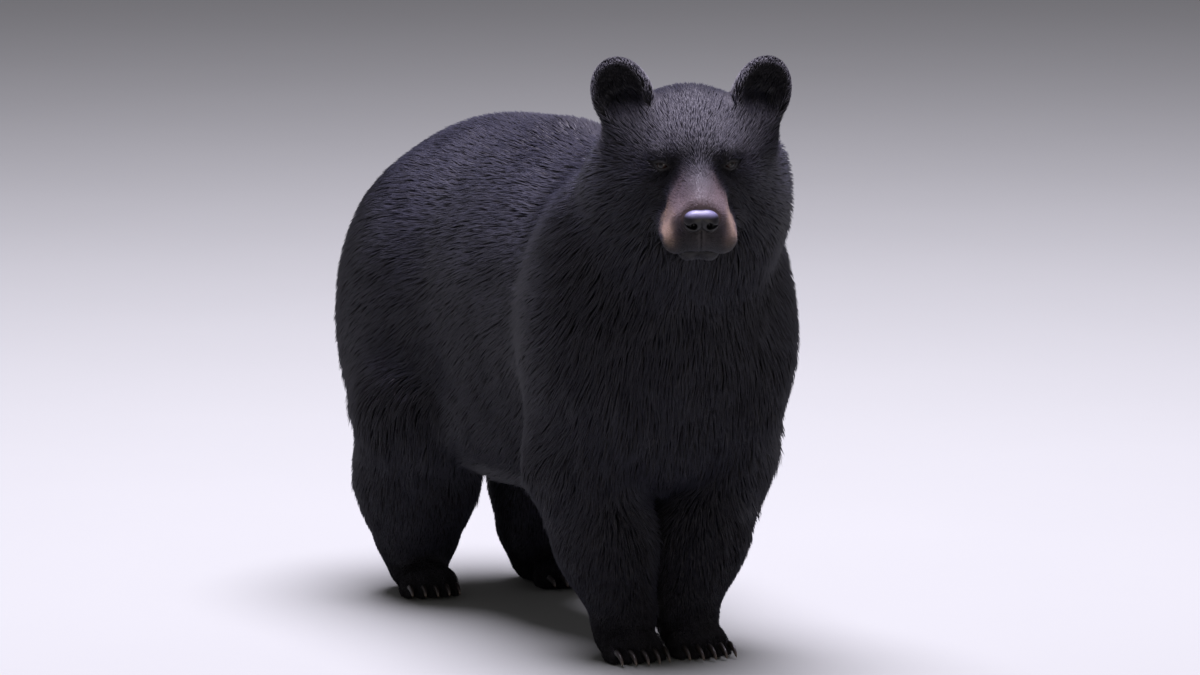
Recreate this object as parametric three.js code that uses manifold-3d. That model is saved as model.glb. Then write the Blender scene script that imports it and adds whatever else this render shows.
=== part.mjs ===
// A life-size American black bear standing on four feet, its head up and turned to its right.
// Millimetres, +Z up. The bear faces -Y, so its left side is +X. Every outline is the tips of the coat.
// The body is a set of muscle masses melted together; each part is a loft wrapped round its share of them.
import * as THREE from 'three';
import { LoftGeometry } from 'three/addons/geometries/LoftGeometry.js';
import { mergeVertices } from 'three/addons/utils/BufferGeometryUtils.js';
import Module from 'manifold-3d';

const wasm = await Module();
wasm.setup();

// ---- driving dimensions ----

const GAP = 0.3; // between neighbouring parts
const SOFT = 55; // how far body masses melt into each other
const SOFT_FACE = 20; // the same on the head
const SOFT_PAW = 10; // and on a paw
const UNDER = 8; // how far a fillet dips under the neighbour that it meets
const LEG_FILLET = 60; // how far a fillet reaches from a leg or the head
const NECK_FILLET = 30; // and from the neck

const BACK_HEIGHT = 850; // highest point of the back
const LOIN_HEIGHT = 834;
const WITHERS_HEIGHT = 842;
const RUMP_HEIGHT = 800;
const BELLY_HEIGHT = 228; // lowest tips of the belly coat
const HIP_WIDTH = 512;
const SHOULDER_WIDTH = 470;
const LEAN = 10; // of the shoulders towards its left, where more of the weight is
const FORE_ANKLE_Y = -350;
const HIND_ANKLE_Y = 388;
const ANKLE_HEIGHT = 80; // of a forefoot
const HOCK_HEIGHT = 100; // where a hind foot begins
const FORE_TRACK = 58; // forefoot to the mid plane
const HIND_TRACK = 114;

const NECK_BASE = [0, -385, 628]; // a point on the plane that parts the neck from the trunk
const NECK_SLOPE = -30; // degrees, of that plane from upright

// The space that parts a leg from the trunk: an egg, and all below a level that lies beyond a line across.
const SHOULDER_SPACE = {
  centre: [176, -300, 318],
  radii: [164, 180, 290],
  front: -1,
  line: -190,
  level: 302,
};
const HAUNCH_SPACE = {
  centre: [190, 330, 318],
  radii: [150, 210, 290],
  front: 1,
  line: 120,
  level: 220,
};

// A paw's place under its ankle, how its toes turn out, and its sizes.
const PAW_WIDTH = 104;
const FOREPAW = { track: FORE_TRACK, ankleY: FORE_ANKLE_Y, turnOut: 1, heel: 40, knuckles: -52, claw: 36 };
const HINDPAW = { track: HIND_TRACK, ankleY: HIND_ANKLE_Y, turnOut: 7, heel: 48, knuckles: -88, claw: 27 };
const QUARTERS = [
  { leg: 'foreleg', foot: 'forepaw', space: SHOULDER_SPACE, paw: FOREPAW },
  { leg: 'hindleg', foot: 'hindpaw', space: HAUNCH_SPACE, paw: HINDPAW },
];
const TOES = [-2, -1, 0, 1, 2];
const TOE_REACH = 38; // knuckles to the end of the middle toe's pad
const TOE_RADIUS = 13;
const CLAW_SIDES = 4;
const CLAW_HOOK = 0.36; // how far a claw curls down, as a share of its length

const HEAD_EGG = { centre: [0, 0, -10], radii: [190, 180, 170] }; // from between the eyes
const HEAD_PLACE = [-52, -622, 838]; // between the eyes
const HEAD_TURN = -19.5; // degrees, towards its right
const HEAD_NOD = 13; // degrees, muzzle down
const MUZZLE_LENGTH = 122; // eyes to nose tip

const EYE_SPREAD = 52; // eye to the face's mid plane
const EYE_RADIUS = 11;
const EYE_SHOWS = 3; // how far the eyeball stands out of the face
const EAR_SPREAD = 112;
const EAR_WIDTH = 98;
const EAR_HEIGHT = 122;
const NOSE_WIDTH = 54;
const NOSE_HEIGHT = 36;

const COLOURS = { coat: 0x17161a, muzzle: 0x4a3226, leather: 0x121114, eye: 0x0d0806, claw: 0x1c1916 };
const ROUGHNESS = { coat: 0.6, muzzle: 0.65, leather: 0.35, eye: 0.08, claw: 0.4 };

const SIDES = { left: 1, right: -1 };

// ---- masses, and the distance to them ----

const V = (x, y, z) => new THREE.Vector3(x, y, z);
const mix = THREE.MathUtils.lerp;
const radians = THREE.MathUtils.degToRad;

// An ellipsoid: the distance from a point to its surface, negative inside.
function ball(centre, radii) {
  const c = V(...centre);
  const r = V(...radii);
  return (p) => {
    const q = p.clone().sub(c);
    const near = q.divide(r).length();
    const slope = q.divide(r).length();
    return slope < 1e-9 ? -Math.min(r.x, r.y, r.z) : (near * (near - 1)) / slope;
  };
}

// A round bar whose radius changes evenly from one end to the other.
function limb(from, to, startRadius, endRadius) {
  const a = V(...from);
  const along = V(...to).sub(a);
  return (p) => {
    const q = p.clone().sub(a);
    const t = THREE.MathUtils.clamp(q.dot(along) / along.lengthSq(), 0, 1);
    return q.addScaledVector(along, -t).length() - mix(startRadius, endRadius, t);
  };
}

function smoothMin(a, b, soft) {
  const h = Math.max(soft - Math.abs(a - b), 0) / soft;
  return Math.min(a, b) - (h * h * soft) / 4;
}

const melt = (masses, soft) => (p) => masses.reduce((d, mass) => smoothMin(d, mass(p), soft), 1e9);

// Some masses with a fillet onto their neighbours. The fillet runs a little way under the neighbour's
// surface, so that the two cross at a clean angle, and reaches no farther than the fillet is wide.
function filleted(own, neighbours, soft, reach) {
  const whole = melt([...neighbours.map((n) => (p) => n(p) + UNDER), own], soft);
  return (p) => Math.max(whole(p), own(p) - reach);
}

// What lies on one side of the mid plane.
const half = (field, side) => (p) => Math.max(field(p), GAP - side * p.x);

// The same ball, or the same limb, on both sides of the mid plane.
const mirrored = ([x, y, z]) => [-x, y, z];
const balls = (centre, radii) => [ball(centre, radii), ball(mirrored(centre), radii)];
const limbs = (a, b, r, s) => [limb(a, b, r, s), limb(mirrored(a), mirrored(b), r, s)];

// ---- lofts ----

// How far the surface lies from an axis point along a ray, found from outside.
function surfaceAt(field, origin, ray, reach) {
  const at = (d) => field(origin.clone().addScaledVector(ray, d));
  const step = reach / 60;
  let far = reach;
  while (far > step && at(far - step) > 0) far -= step;
  let near = Math.max(far - step, 0);
  for (let i = 0; i < 14; i += 1) {
    const middle = (near + far) / 2;
    if (at(middle) > 0) far = middle;
    else near = middle;
  }
  return far;
}

// A loft round an axis through named points: rings across it, and a fan of rays over each round end.
function wrap(field, points, { rings, spokes, reach, startFan = 0, endFan = 0, grow = 0, up = [0, 0, 1] }) {
  const axis = new THREE.CatmullRomCurve3(points.map((p) => V(...p)));
  const surface = (origin, ray) => {
    return origin.clone().addScaledVector(ray, surfaceAt(field, origin, ray, reach) + grow);
  };

  const ring = ([t, tilt]) => {
    const along = axis.getTangent(t);
    const side = along.clone().cross(V(...up)).normalize();
    const top = side.clone().cross(along);
    return Array.from({ length: spokes }, (_, i) => {
      const angle = (-2 * Math.PI * (i + 0.5)) / spokes;
      const ray = side.clone().multiplyScalar(Math.cos(angle)).addScaledVector(top, Math.sin(angle));
      ray.multiplyScalar(Math.cos(radians(tilt))).addScaledVector(along, Math.sin(radians(tilt)));
      return surface(axis.getPoint(t), ray);
    });
  };

  // Each end closes at one point: on the surface of a round end, on the axis of a flat one.
  const pole = (t, outward, fan) => {
    const origin = axis.getPoint(t);
    const ray = axis.getTangent(t).multiplyScalar(outward);
    return Array(spokes).fill(fan ? surface(origin, ray) : origin.addScaledVector(ray, grow));
  };

  const stations = [];
  for (let i = startFan; i > 0; i -= 1) stations.push([0, (-90 * i) / (startFan + 1)]);
  for (let i = 0; i <= rings; i += 1) stations.push([i / rings, 0]);
  for (let i = 1; i <= endFan; i += 1) stations.push([1, (90 * i) / (endFan + 1)]);
  return new LoftGeometry([pole(0, -1, startFan), ...stations.map(ring), pole(1, 1, endFan)]);
}

// ---- solids and meshes ----

// The geometry as one closed solid, welded, without the faces that a pole has made into lines.
function solid(geometry, place = new THREE.Matrix4()) {
  const bare = new THREE.BufferGeometry();
  bare.setAttribute('position', geometry.getAttribute('position').clone());
  bare.setIndex(geometry.getIndex());
  const merged = mergeVertices(bare.applyMatrix4(place), 1e-3);
  const triVerts = [];
  for (let i = 0; i < merged.index.count; i += 3) {
    const [a, b, c] = merged.index.array.slice(i, i + 3);
    if (a !== b && b !== c && c !== a) triVerts.push(a, b, c);
  }
  const mesh = new wasm.Mesh({
    numProp: 3,
    vertProperties: merged.attributes.position.array,
    triVerts: new Uint32Array(triVerts),
  });
  return new wasm.Manifold(mesh);
}

const join = (solids) => solids.reduce((whole, next) => whole.add(next));
// What is left of a solid after its neighbours are cut out of it, without any shred that they leave loose.
function cut(whole, tools) {
  const left = tools.reduce((rest, tool) => rest.subtract(tool), whole);
  return left.decompose().reduce((big, next) => (next.volume() > big.volume() ? next : big));
}

function part(name, kind, body) {
  const { numProp, vertProperties, triVerts } = body.getMesh();
  const geometry = new THREE.BufferGeometry();
  const vertices = new THREE.InterleavedBuffer(vertProperties, numProp);
  geometry.setAttribute('position', new THREE.InterleavedBufferAttribute(vertices, 3, 0));
  geometry.setIndex(new THREE.BufferAttribute(triVerts, 1));
  geometry.computeVertexNormals();
  const looks = { color: COLOURS[kind], roughness: ROUGHNESS[kind], metalness: 0 };
  const mesh = new THREE.Mesh(geometry, new THREE.MeshStandardMaterial(looks));
  mesh.name = name;
  return mesh;
}

// ---- the body's masses ----

// A ball of the trunk, from the height of its top to that of its underside.
function barrel(y, top, bottom, width, length) {
  return ball([0, y, (top + bottom) / 2], [width / 2, length / 2, (top - bottom) / 2]);
}

const trunkMasses = [
  barrel(350, RUMP_HEIGHT, 300, 390, 540), // rump
  barrel(215, LOIN_HEIGHT, 252, 400, 560), // loins
  barrel(20, BACK_HEIGHT - 2, BELLY_HEIGHT + 4, 410, 660), // belly
  barrel(-210, WITHERS_HEIGHT - 4, BELLY_HEIGHT + 24, 376, 540), // ribs
  barrel(-385, 650, 278, 300, 240), // breast
  ...balls([62, 90, BELLY_HEIGHT + 106], [105, 260, 108]), // hanging sides of the belly
];

const neckMasses = [
  ball([0, -350, 628], [185, 150, 178]),
  limb([0, -400, 688], [2, -460, 742], 178, 170),
  ball([6, -466, 795], [166, 114, 146]), // ruff
  ball([0, -430, 548], [140, 118, 150]), // throat
];

const shoulder = (side) => {
  const across = side * (SHOULDER_WIDTH / 2 - 127) + LEAN;
  return [ball([across, -345, 528], [127, 150, 235])];
};
const haunch = (side) => [ball([side * (HIP_WIDTH / 2 - 142), 345, 478], [142, 212, 258])];

const foreLegMasses = (side) => [
  limb([side * 106 + LEAN, -318, 440], [side * 118 + LEAN, -312, 325], 80, 93), // upper arm
  limb([side * 118 + LEAN, -312, 325], [side * 84 + LEAN / 2, -328, 190], 92, 73), // forearm
  limb([side * 84 + LEAN / 2, -328, 190], [side * FORE_TRACK, FORE_ANKLE_Y, ANKLE_HEIGHT], 73, 54), // wrist
];

const hindLegMasses = (side) => [
  limb([side * 116, 325, 430], [side * 144, 275, 335], 88, 114), // thigh and knee
  limb([side * 144, 275, 335], [side * 127, 345, 205], 114, 97), // shin
  limb([side * 127, 352, 200], [side * HIND_TRACK, HIND_ANKLE_Y - 4, HOCK_HEIGHT], 97, 74), // hock
  limb([side * 112, 398, 380], [side * 118, 388, 180], 92, 72), // ham
];

const bothSides = (masses) => Object.values(SIDES).flatMap(masses);

const TRUNK = melt([...trunkMasses, ...bothSides(shoulder), ...bothSides(haunch)], SOFT);
const NECK = melt(neckMasses, SOFT);
const legField = (masses, side) => {
  return half(filleted(melt(masses(side), SOFT), [TRUNK], SOFT, LEG_FILLET), side);
};

// ---- trunk, neck and tail ----

function trunk() {
  const axis = [
    [0, 440, 548],
    [0, 100, 550],
    [0, -200, 545],
    [0, -380, 510],
  ];
  return solid(wrap(TRUNK, axis, { rings: 10, spokes: 20, reach: 430, startFan: 4, endFan: 2 }));
}

function neck() {
  const axis = [
    [0, -310, 550],
    [0, -400, 630],
    [0, -460, 728],
    [0, -468, 838],
  ];
  const field = filleted(NECK, [TRUNK], SOFT, NECK_FILLET);
  return solid(wrap(field, axis, { rings: 7, spokes: 18, reach: 380, endFan: 2, up: [0, 1, 0] }));
}

// The space in front of a sloping plane from the withers to the breast.
function neckSpace(grow = 0) {
  const size = 900;
  const box = new THREE.BoxGeometry(size, size, size).translate(0, -size / 2 + grow, 0);
  const place = new THREE.Matrix4().makeRotationX(radians(NECK_SLOPE)).setPosition(...NECK_BASE);
  return solid(box, place);
}

function tail() {
  const from = V(0, 592, 570);
  const to = V(0, 630, 480);
  const along = to.clone().sub(from);
  const shape = new THREE.CapsuleGeometry(26, along.length(), 3, 9);
  const turn = new THREE.Quaternion().setFromUnitVectors(V(0, 1, 0), along.clone().normalize());
  const place = new THREE.Matrix4().compose(from.lerp(to, 0.5), turn, V(1, 1, 1));
  return solid(shape, place);
}

// ---- legs ----

function foreLeg(side) {
  const axis = [
    [side * 100 + LEAN, -320, 545],
    [side * 116 + LEAN, -312, 330],
    [side * 86 + LEAN / 2, -326, 198],
    [side * FORE_TRACK, FORE_ANKLE_Y, ANKLE_HEIGHT],
  ];
  const shape = { rings: 8, spokes: 12, reach: 300, endFan: 1, up: [0, -1, 0] };
  return solid(wrap(legField(foreLegMasses, side), axis, shape));
}

function hindLeg(side) {
  const axis = [
    [side * 100, 345, 535],
    [side * 142, 282, 335],
    [side * 128, 345, 205],
    [side * HIND_TRACK, HIND_ANKLE_Y, HOCK_HEIGHT],
  ];
  const shape = { rings: 8, spokes: 12, reach: 330, endFan: 1, up: [0, -1, 0] };
  return solid(wrap(legField(hindLegMasses, side), axis, shape));
}

function quarter(side, { front, line, level, centre, radii }, grow = 0) {
  const size = 600;
  const low = new THREE.BoxGeometry(size - GAP + 2 * grow, size + 2 * grow, size + 2 * grow);
  low.translate((side * size) / 2, line + (front * size) / 2, level - size / 2);
  const round = new THREE.SphereGeometry(1, 12, 9);
  round.scale(...radii.map((r) => r + grow)).translate(side * centre[0], centre[1], centre[2]);
  return solid(low).add(solid(round));
}

// ---- paws: each in its own frame, under the ankle on the floor, toes towards -Y ----

// Where a toe's pad ends: the middle toe reaches farthest.
const toeTip = (paw, i) => V((i * PAW_WIDTH) / 5, paw.knuckles - TOE_REACH * (1 - 0.07 * i * i), 0);

function palm(paw, grow) {
  const { heel, knuckles } = paw;
  const field = melt(
    [
      ball([0, heel - 38, 32], [PAW_WIDTH * 0.38, 38, 36]),
      ball([0, (heel + knuckles) / 2, 31], [PAW_WIDTH * 0.43, (heel - knuckles) / 2, 35]),
      ball([0, knuckles + 12, 26], [PAW_WIDTH * 0.49, 34, 30]),
      ball([0, 0, 52], [PAW_WIDTH * 0.4, 42, 34]),
    ],
    SOFT_PAW,
  );
  const axis = [
    [0, heel - 30, 28],
    [0, knuckles + 6, 26],
  ];
  return solid(wrap(field, axis, { rings: 2, spokes: 10, reach: 110, startFan: 2, endFan: 1, grow }));
}

function toe(paw, i, grow) {
  const length = TOE_REACH / 2 + 12;
  const tip = toeTip(paw, i);
  const shape = new THREE.SphereGeometry(1, 6, 4);
  shape.scale(PAW_WIDTH / 10 - 0.2 + grow, length + grow, TOE_RADIUS + 4 + grow).rotateX(radians(8));
  return solid(shape.translate(tip.x, tip.y + length, TOE_RADIUS + 1));
}

// A hooked claw: rings that shrink along an arc turning down from the toe.
function claw(paw, i, grow = 0) {
  const root = toeTip(paw, i).add(V(0, 10, TOE_RADIUS + 8));
  const rings = 2;
  const ring = (_, k) => {
    const t = k / rings;
    const bend = mix(0.1, 1.15, t);
    const drop = paw.claw * CLAW_HOOK * bend * bend;
    const centre = root.clone().add(V(0, -paw.claw * Math.sin(bend * 0.9), -drop));
    const across = mix(4.2, 0.9, t) + grow;
    const down = mix(6.5, 1.2, t) + grow;
    return Array.from({ length: CLAW_SIDES }, (_, n) => {
      const angle = (-2 * Math.PI * n) / CLAW_SIDES;
      const rise = down * Math.cos(angle);
      return centre.clone().add(V(across * Math.sin(angle), -rise * Math.sin(bend), rise * Math.cos(bend)));
    });
  };
  return solid(new LoftGeometry(Array.from({ length: rings + 1 }, ring), { capStart: true, capEnd: true }));
}

function pawWithoutClaws(paw, grow = 0) {
  const below = solid(new THREE.BoxGeometry(400, 600, 200).translate(0, 0, -100));
  return join([palm(paw, grow), ...TOES.map((i) => toe(paw, i, grow))]).subtract(below);
}

// ---- head ----

const headGroup = new THREE.Group();
headGroup.position.set(...HEAD_PLACE);
headGroup.rotation.set(radians(HEAD_NOD), 0, radians(HEAD_TURN), 'ZXY');
headGroup.updateMatrixWorld(true);

// The back of the head melts broadly, and the finer masses of the face stand on it.
const headBack = melt(
  [
    ball([0, 104, 3], [104, 106, 93]), // cranium
    ...balls([60, 76, -44], [56, 86, 66]), // cheeks
    ...balls([70, 92, -94], [58, 62, 64]), // jowls
    ...balls([98, 104, 24], [44, 42, 56]), // roots of the ears
  ],
  SOFT,
);
const HEAD = melt(
  [
    headBack,
    ball([0, 46, 14], [70, 60, 50]), // forehead
    ...balls([44, 16, 20], [24, 22, 14]), // brows
    limb([0, 10, -14], [0, 36 - MUZZLE_LENGTH, -42], 36, 27), // bridge of the muzzle
    ...limbs([28, 0, -44], [25, 38 - MUZZLE_LENGTH, -62], 23, 22), // sides of the muzzle
    ...limbs([38, 10, -88], [35, 38 - MUZZLE_LENGTH, -94], 29, 26), // upper lips
    ball([0, 22 - MUZZLE_LENGTH, -82], [28, 20, 28]), // front of the upper lip
  ],
  SOFT_FACE,
);
const JAW = melt(limbs([32, 20, -104], [17, 46 - MUZZLE_LENGTH, -116], 27, 19), SOFT_FACE);

const neckAtHead = (p) => NECK(p.clone().applyMatrix4(headGroup.matrixWorld));
const HEAD_ON_NECK = filleted(HEAD, [neckAtHead], SOFT, LEG_FILLET);

function skull(grow = 0) {
  const axis = [
    [0, 130, 0],
    [0, 60, -6],
    [0, 5, -34],
    [0, -45, -54],
    [0, 28 - MUZZLE_LENGTH, -64],
  ];
  const shape = { rings: 13, spokes: 22, reach: 240, startFan: 2, endFan: 4, grow };
  return solid(wrap(HEAD_ON_NECK, axis, shape));
}

function jaw(grow = 0) {
  const axis = [
    [0, 20, -102],
    [0, 46 - MUZZLE_LENGTH, -112],
  ];
  return solid(wrap(JAW, axis, { rings: 3, spokes: 12, reach: 90, startFan: 1, endFan: 3, grow }));
}

// The space round the head, as an egg from the muzzle to behind the ears.
function headSpace(grow = 0) {
  const egg = new THREE.SphereGeometry(1, 14, 9);
  egg.scale(...HEAD_EGG.radii.map((r) => r + grow)).translate(...HEAD_EGG.centre);
  return solid(egg);
}

function eyeball(side, grow = 0) {
  const behind = V(side * EYE_SPREAD, 100, 0);
  const depth = surfaceAt(HEAD, behind, V(0, -1, 0), 200);
  const place = V(side * EYE_SPREAD, 100 - depth - EYE_SHOWS + EYE_RADIUS, 0);
  const shape = new THREE.SphereGeometry(EYE_RADIUS + grow, 9, 6);
  return solid(shape, new THREE.Matrix4().setPosition(place));
}

// A cupped ear: a flattened egg hollowed from the front.
function ear(side, grow = 0) {
  const egg = (width, depth, height) => new THREE.SphereGeometry(1, 11, 7).scale(width, depth, height);
  const place = new THREE.Object3D();
  place.position.set(side * EAR_SPREAD, 96, 86);
  place.rotation.set(radians(-6), radians(side * 20), radians(side * 14), 'ZYX');
  place.updateMatrix();
  const outer = solid(egg(EAR_WIDTH / 2 + grow, 21 + grow, EAR_HEIGHT / 2 + grow), place.matrix);
  if (grow) return outer;
  place.translateY(-15);
  place.updateMatrix();
  return outer.subtract(solid(egg(EAR_WIDTH / 2 - 10, 20, EAR_HEIGHT / 2 - 11), place.matrix));
}

const NOSE = melt(
  [
    ball([0, 12 - MUZZLE_LENGTH, -51], [NOSE_WIDTH / 2, 16, NOSE_HEIGHT * 0.4]),
    ...balls([NOSE_WIDTH / 4, 8 - MUZZLE_LENGTH, -60], [NOSE_WIDTH / 4, 13, NOSE_HEIGHT * 0.36]),
  ],
  8,
);

function nose(grow = 0) {
  const axis = [
    [0, 16 - MUZZLE_LENGTH, -56],
    [0, 8 - MUZZLE_LENGTH, -56],
  ];
  const body = solid(wrap(NOSE, axis, { rings: 1, spokes: 12, reach: 60, startFan: 1, endFan: 3, grow }));
  if (grow) return body;
  const nostril = (side) => {
    const place = new THREE.Matrix4().makeRotationZ(side * 0.6);
    place.setPosition(side * 15, -2 - MUZZLE_LENGTH, -59);
    return solid(new THREE.SphereGeometry(1, 7, 5).scale(5, 11, 5), place);
  };
  return cut(body, Object.values(SIDES).map(nostril));
}

// ---- the whole ----

const both = (make) => Object.values(SIDES).map(make);
const moved = (body, group) => body.transform(group.matrixWorld.elements);
const bear = new THREE.Group();
bear.add(headGroup);

const legSpaces = QUARTERS.flatMap(({ space }) => both((side) => quarter(side, space, GAP)));
const headCut = moved(headSpace(GAP), headGroup);

// The flesh in one piece, with room left for what is set into it, then parted by thin cuts.
const ears = both((side) => (grow) => ear(side, grow));
const eyes = both((side) => (grow) => eyeball(side, grow));
const body = cut(join([trunk(), neck(), ...both(foreLeg), ...both(hindLeg)]), [moved(jaw(GAP), headGroup)]);
const whole = body.add(moved(skull(), headGroup));
const flesh = cut(
  whole,
  [nose, ...ears, ...eyes].map((make) => moved(make(GAP), headGroup)),
);

bear.add(part('head', 'coat', cut(flesh.intersect(moved(headSpace(), headGroup)), [])));
bear.add(part('neck', 'coat', cut(flesh.intersect(neckSpace()), [headCut, ...legSpaces])));
bear.add(part('trunk', 'coat', cut(flesh, [neckSpace(GAP), headCut, ...legSpaces])));
bear.add(part('tail', 'coat', cut(tail(), [trunk()])));
headGroup.add(part('lower_jaw', 'muzzle', cut(jaw(), [skull(GAP)])));
headGroup.add(part('nose', 'leather', nose()));

// One leg with its paw and claws.
function addQuarter(name, side, { leg, foot, space, paw }) {
  const pawGroup = new THREE.Group();
  pawGroup.position.set(side * paw.track, paw.ankleY, 0);
  pawGroup.rotation.z = radians(side * paw.turnOut);
  pawGroup.updateMatrixWorld(true);
  bear.add(pawGroup);
  const grown = pawWithoutClaws(paw, GAP);
  const upper = cut(flesh.intersect(quarter(side, space)), [moved(grown, pawGroup)]);
  bear.add(part(`${leg}_${name}`, 'coat', upper));
  pawGroup.add(part(`${foot}_${name}`, 'coat', pawWithoutClaws(paw)));
  for (const i of TOES) {
    pawGroup.add(part(`claw_${foot}_${name}_${i + 3}`, 'claw', cut(claw(paw, i), [grown])));
  }
}

for (const [name, side] of Object.entries(SIDES)) {
  headGroup.add(part(`ear_${name}`, 'coat', ear(side)));
  headGroup.add(part(`eye_${name}`, 'eye', eyeball(side)));
  for (const spec of QUARTERS) addQuarter(name, side, spec);
}

// The frame's origin is the middle of the bottom of the whole.
const box = new THREE.Box3().setFromObject(bear, true);
const middle = box.getCenter(V(0, 0, 0));
bear.position.set(-middle.x, -middle.y, -box.min.z);

export default bear;
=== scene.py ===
"""A life-size American black bear, as a museum shows it: skin, coat, eyes, nose and claws.

The bear faces -Y and its left side is +X. Shapes are worked out in millimetres and made in metres.
Each part of the body is a distance field, melted into its neighbours. The field's zero is the outline at
the tips of the coat, and the skin lies inside it by the coat's depth, which is a few millimetres on the
face and feet and over twenty on the trunk.
"""

import math
from functools import reduce

import bmesh
import bpy
import numpy as np
import openvdb
from bpy.props import FloatProperty, FloatVectorProperty, IntProperty, PointerProperty
from mathutils import Matrix, Vector


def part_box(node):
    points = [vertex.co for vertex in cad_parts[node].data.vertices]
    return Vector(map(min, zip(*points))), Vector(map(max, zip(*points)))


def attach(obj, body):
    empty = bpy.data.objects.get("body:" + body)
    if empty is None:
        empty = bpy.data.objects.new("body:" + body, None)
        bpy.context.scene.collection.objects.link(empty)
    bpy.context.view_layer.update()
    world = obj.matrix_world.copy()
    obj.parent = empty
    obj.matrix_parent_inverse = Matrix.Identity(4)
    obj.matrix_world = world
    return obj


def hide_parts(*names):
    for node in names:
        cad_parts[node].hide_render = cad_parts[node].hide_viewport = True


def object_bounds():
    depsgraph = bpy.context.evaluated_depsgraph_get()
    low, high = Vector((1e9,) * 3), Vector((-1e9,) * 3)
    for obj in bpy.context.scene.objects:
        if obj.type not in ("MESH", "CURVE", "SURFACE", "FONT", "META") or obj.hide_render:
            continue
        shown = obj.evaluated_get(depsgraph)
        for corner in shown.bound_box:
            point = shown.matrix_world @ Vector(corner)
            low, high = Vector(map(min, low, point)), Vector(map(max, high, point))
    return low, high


bl_info = {
    "name": "Museum Black Bear",
    "version": (1, 0, 0),
    "blender": (4, 5, 0),
    "location": "3D Viewport > Sidebar > Bear",
    "description": "Skin, coat, eyes, nose and claws of a life-size black bear",
    "category": "Add Mesh",
}

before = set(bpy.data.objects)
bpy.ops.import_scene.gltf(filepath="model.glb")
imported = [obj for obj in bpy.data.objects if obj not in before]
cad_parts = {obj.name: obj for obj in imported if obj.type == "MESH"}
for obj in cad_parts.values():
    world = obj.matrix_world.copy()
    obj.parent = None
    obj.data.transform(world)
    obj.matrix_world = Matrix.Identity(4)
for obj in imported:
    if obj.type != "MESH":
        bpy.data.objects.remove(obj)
CAD_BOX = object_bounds()
MM = 0.001
FAR = 1000.0
SIDES = {"left": 1, "right": -1}
FLESH = ["head", "neck", "trunk", "tail", "lower_jaw"] + [
    f"{part}_{side}" for part in ("foreleg", "hindleg", "forepaw", "hindpaw", "ear") for side in SIDES
]


# ---- small helpers ----


def hex_colour(code):
    """An sRGB hex colour as the linear RGBA that a shader takes."""
    shares = [int(code[i : i + 2], 16) / 255 for i in (1, 3, 5)]
    linear = [s / 12.92 if s <= 0.04045 else ((s + 0.055) / 1.055) ** 2.4 for s in shares]
    return (*linear, 1.0)


def ease(x, low, high):
    """0 below low, 1 above high, and a smooth climb between them."""
    t = np.clip((x - low) / (high - low), 0, 1)
    return t * t * (3 - 2 * t)


def hump(x, width):
    """1 at nought, falling away on both sides."""
    return np.exp(-((x / width) ** 2))


def mixed(a, b, t):
    """a where t is 0, b where it is 1, and in between."""
    return a + (b - a) * t


def unit(v):
    """The same directions with a length of 1."""
    return v / np.maximum(np.linalg.norm(v, axis=-1, keepdims=True), 1e-9)


def turned(x=0.0, y=0.0, z=0.0, order="XYZ"):
    """Rotation matrix from turns about the axes in degrees; order is the order they are applied in."""
    turns = {
        "X": Matrix.Rotation(math.radians(x), 3, "X"),
        "Y": Matrix.Rotation(math.radians(y), 3, "Y"),
        "Z": Matrix.Rotation(math.radians(z), 3, "Z"),
    }
    return np.array(reduce(lambda whole, axis: turns[axis] @ whole, order, Matrix.Identity(3)))


# ---- masses, and the distance to them ----


def ball(centre, radii):
    """Distance to an egg shape with a radius along each axis."""
    centre, radii = np.array(centre, np.float32), np.array(radii, np.float32)

    def distance(p):
        q = (p - centre) / radii
        near = np.sqrt(np.einsum("ij,ij->i", q, q))
        q = q / radii
        slope = np.sqrt(np.einsum("ij,ij->i", q, q))
        return near * (near - 1) / np.maximum(slope, 1e-7)

    return distance


def limb(start, end, start_radius, end_radius):
    """Distance to a round bar that tapers from one end to the other."""
    start = np.array(start, np.float32)
    along = np.array(end, np.float32) - start
    square = float(along @ along)

    def distance(p):
        q = p - start
        t = np.clip(q @ along / square, 0, 1)
        q = q - t[:, None] * along
        return np.sqrt(np.einsum("ij,ij->i", q, q)) - (start_radius + t * (end_radius - start_radius))

    return distance


def smooth_min(a, b, soft):
    """The lesser of two distances, rounded where they are within soft of each other."""
    h = np.maximum(soft - np.abs(a - b), 0) / soft
    return np.minimum(a, b) - h * h * soft / 4


def smooth_max(a, b, soft):
    """The greater of two distances, rounded in the same way."""
    return -smooth_min(-a, -b, soft)


def melt(masses, soft):
    """Distance to all the masses together, run into one another where they meet."""
    return lambda p: reduce(lambda d, mass: smooth_min(d, mass(p), soft), masses[1:], masses[0](p))


def both_balls(centre, radii):
    """The same ball on both sides of the mid plane."""
    return [ball(centre, radii), ball((-centre[0], centre[1], centre[2]), radii)]


def both_limbs(start, end, start_radius, end_radius):
    """The same limb on both sides of the mid plane."""
    a, b = (-start[0], *start[1:]), (-end[0], *end[1:])
    return [limb(start, end, start_radius, end_radius), limb(a, b, start_radius, end_radius)]


def only_near(field, centre, reach):
    """The field where it matters, and a long way off elsewhere: saves work on a part that is small."""
    centre = np.array(centre, np.float32)

    def distance(p):
        out = np.full(len(p), FAR, np.float32)
        q = p - centre
        close = np.einsum("ij,ij->i", q, q) < reach * reach
        if close.any():
            out[close] = field(p[close])
        return out

    return distance


# ---- where things are ----


def middle_of(node):
    """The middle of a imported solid's box."""
    low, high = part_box(node)
    return np.array((low + high) / 2) / MM


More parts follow.
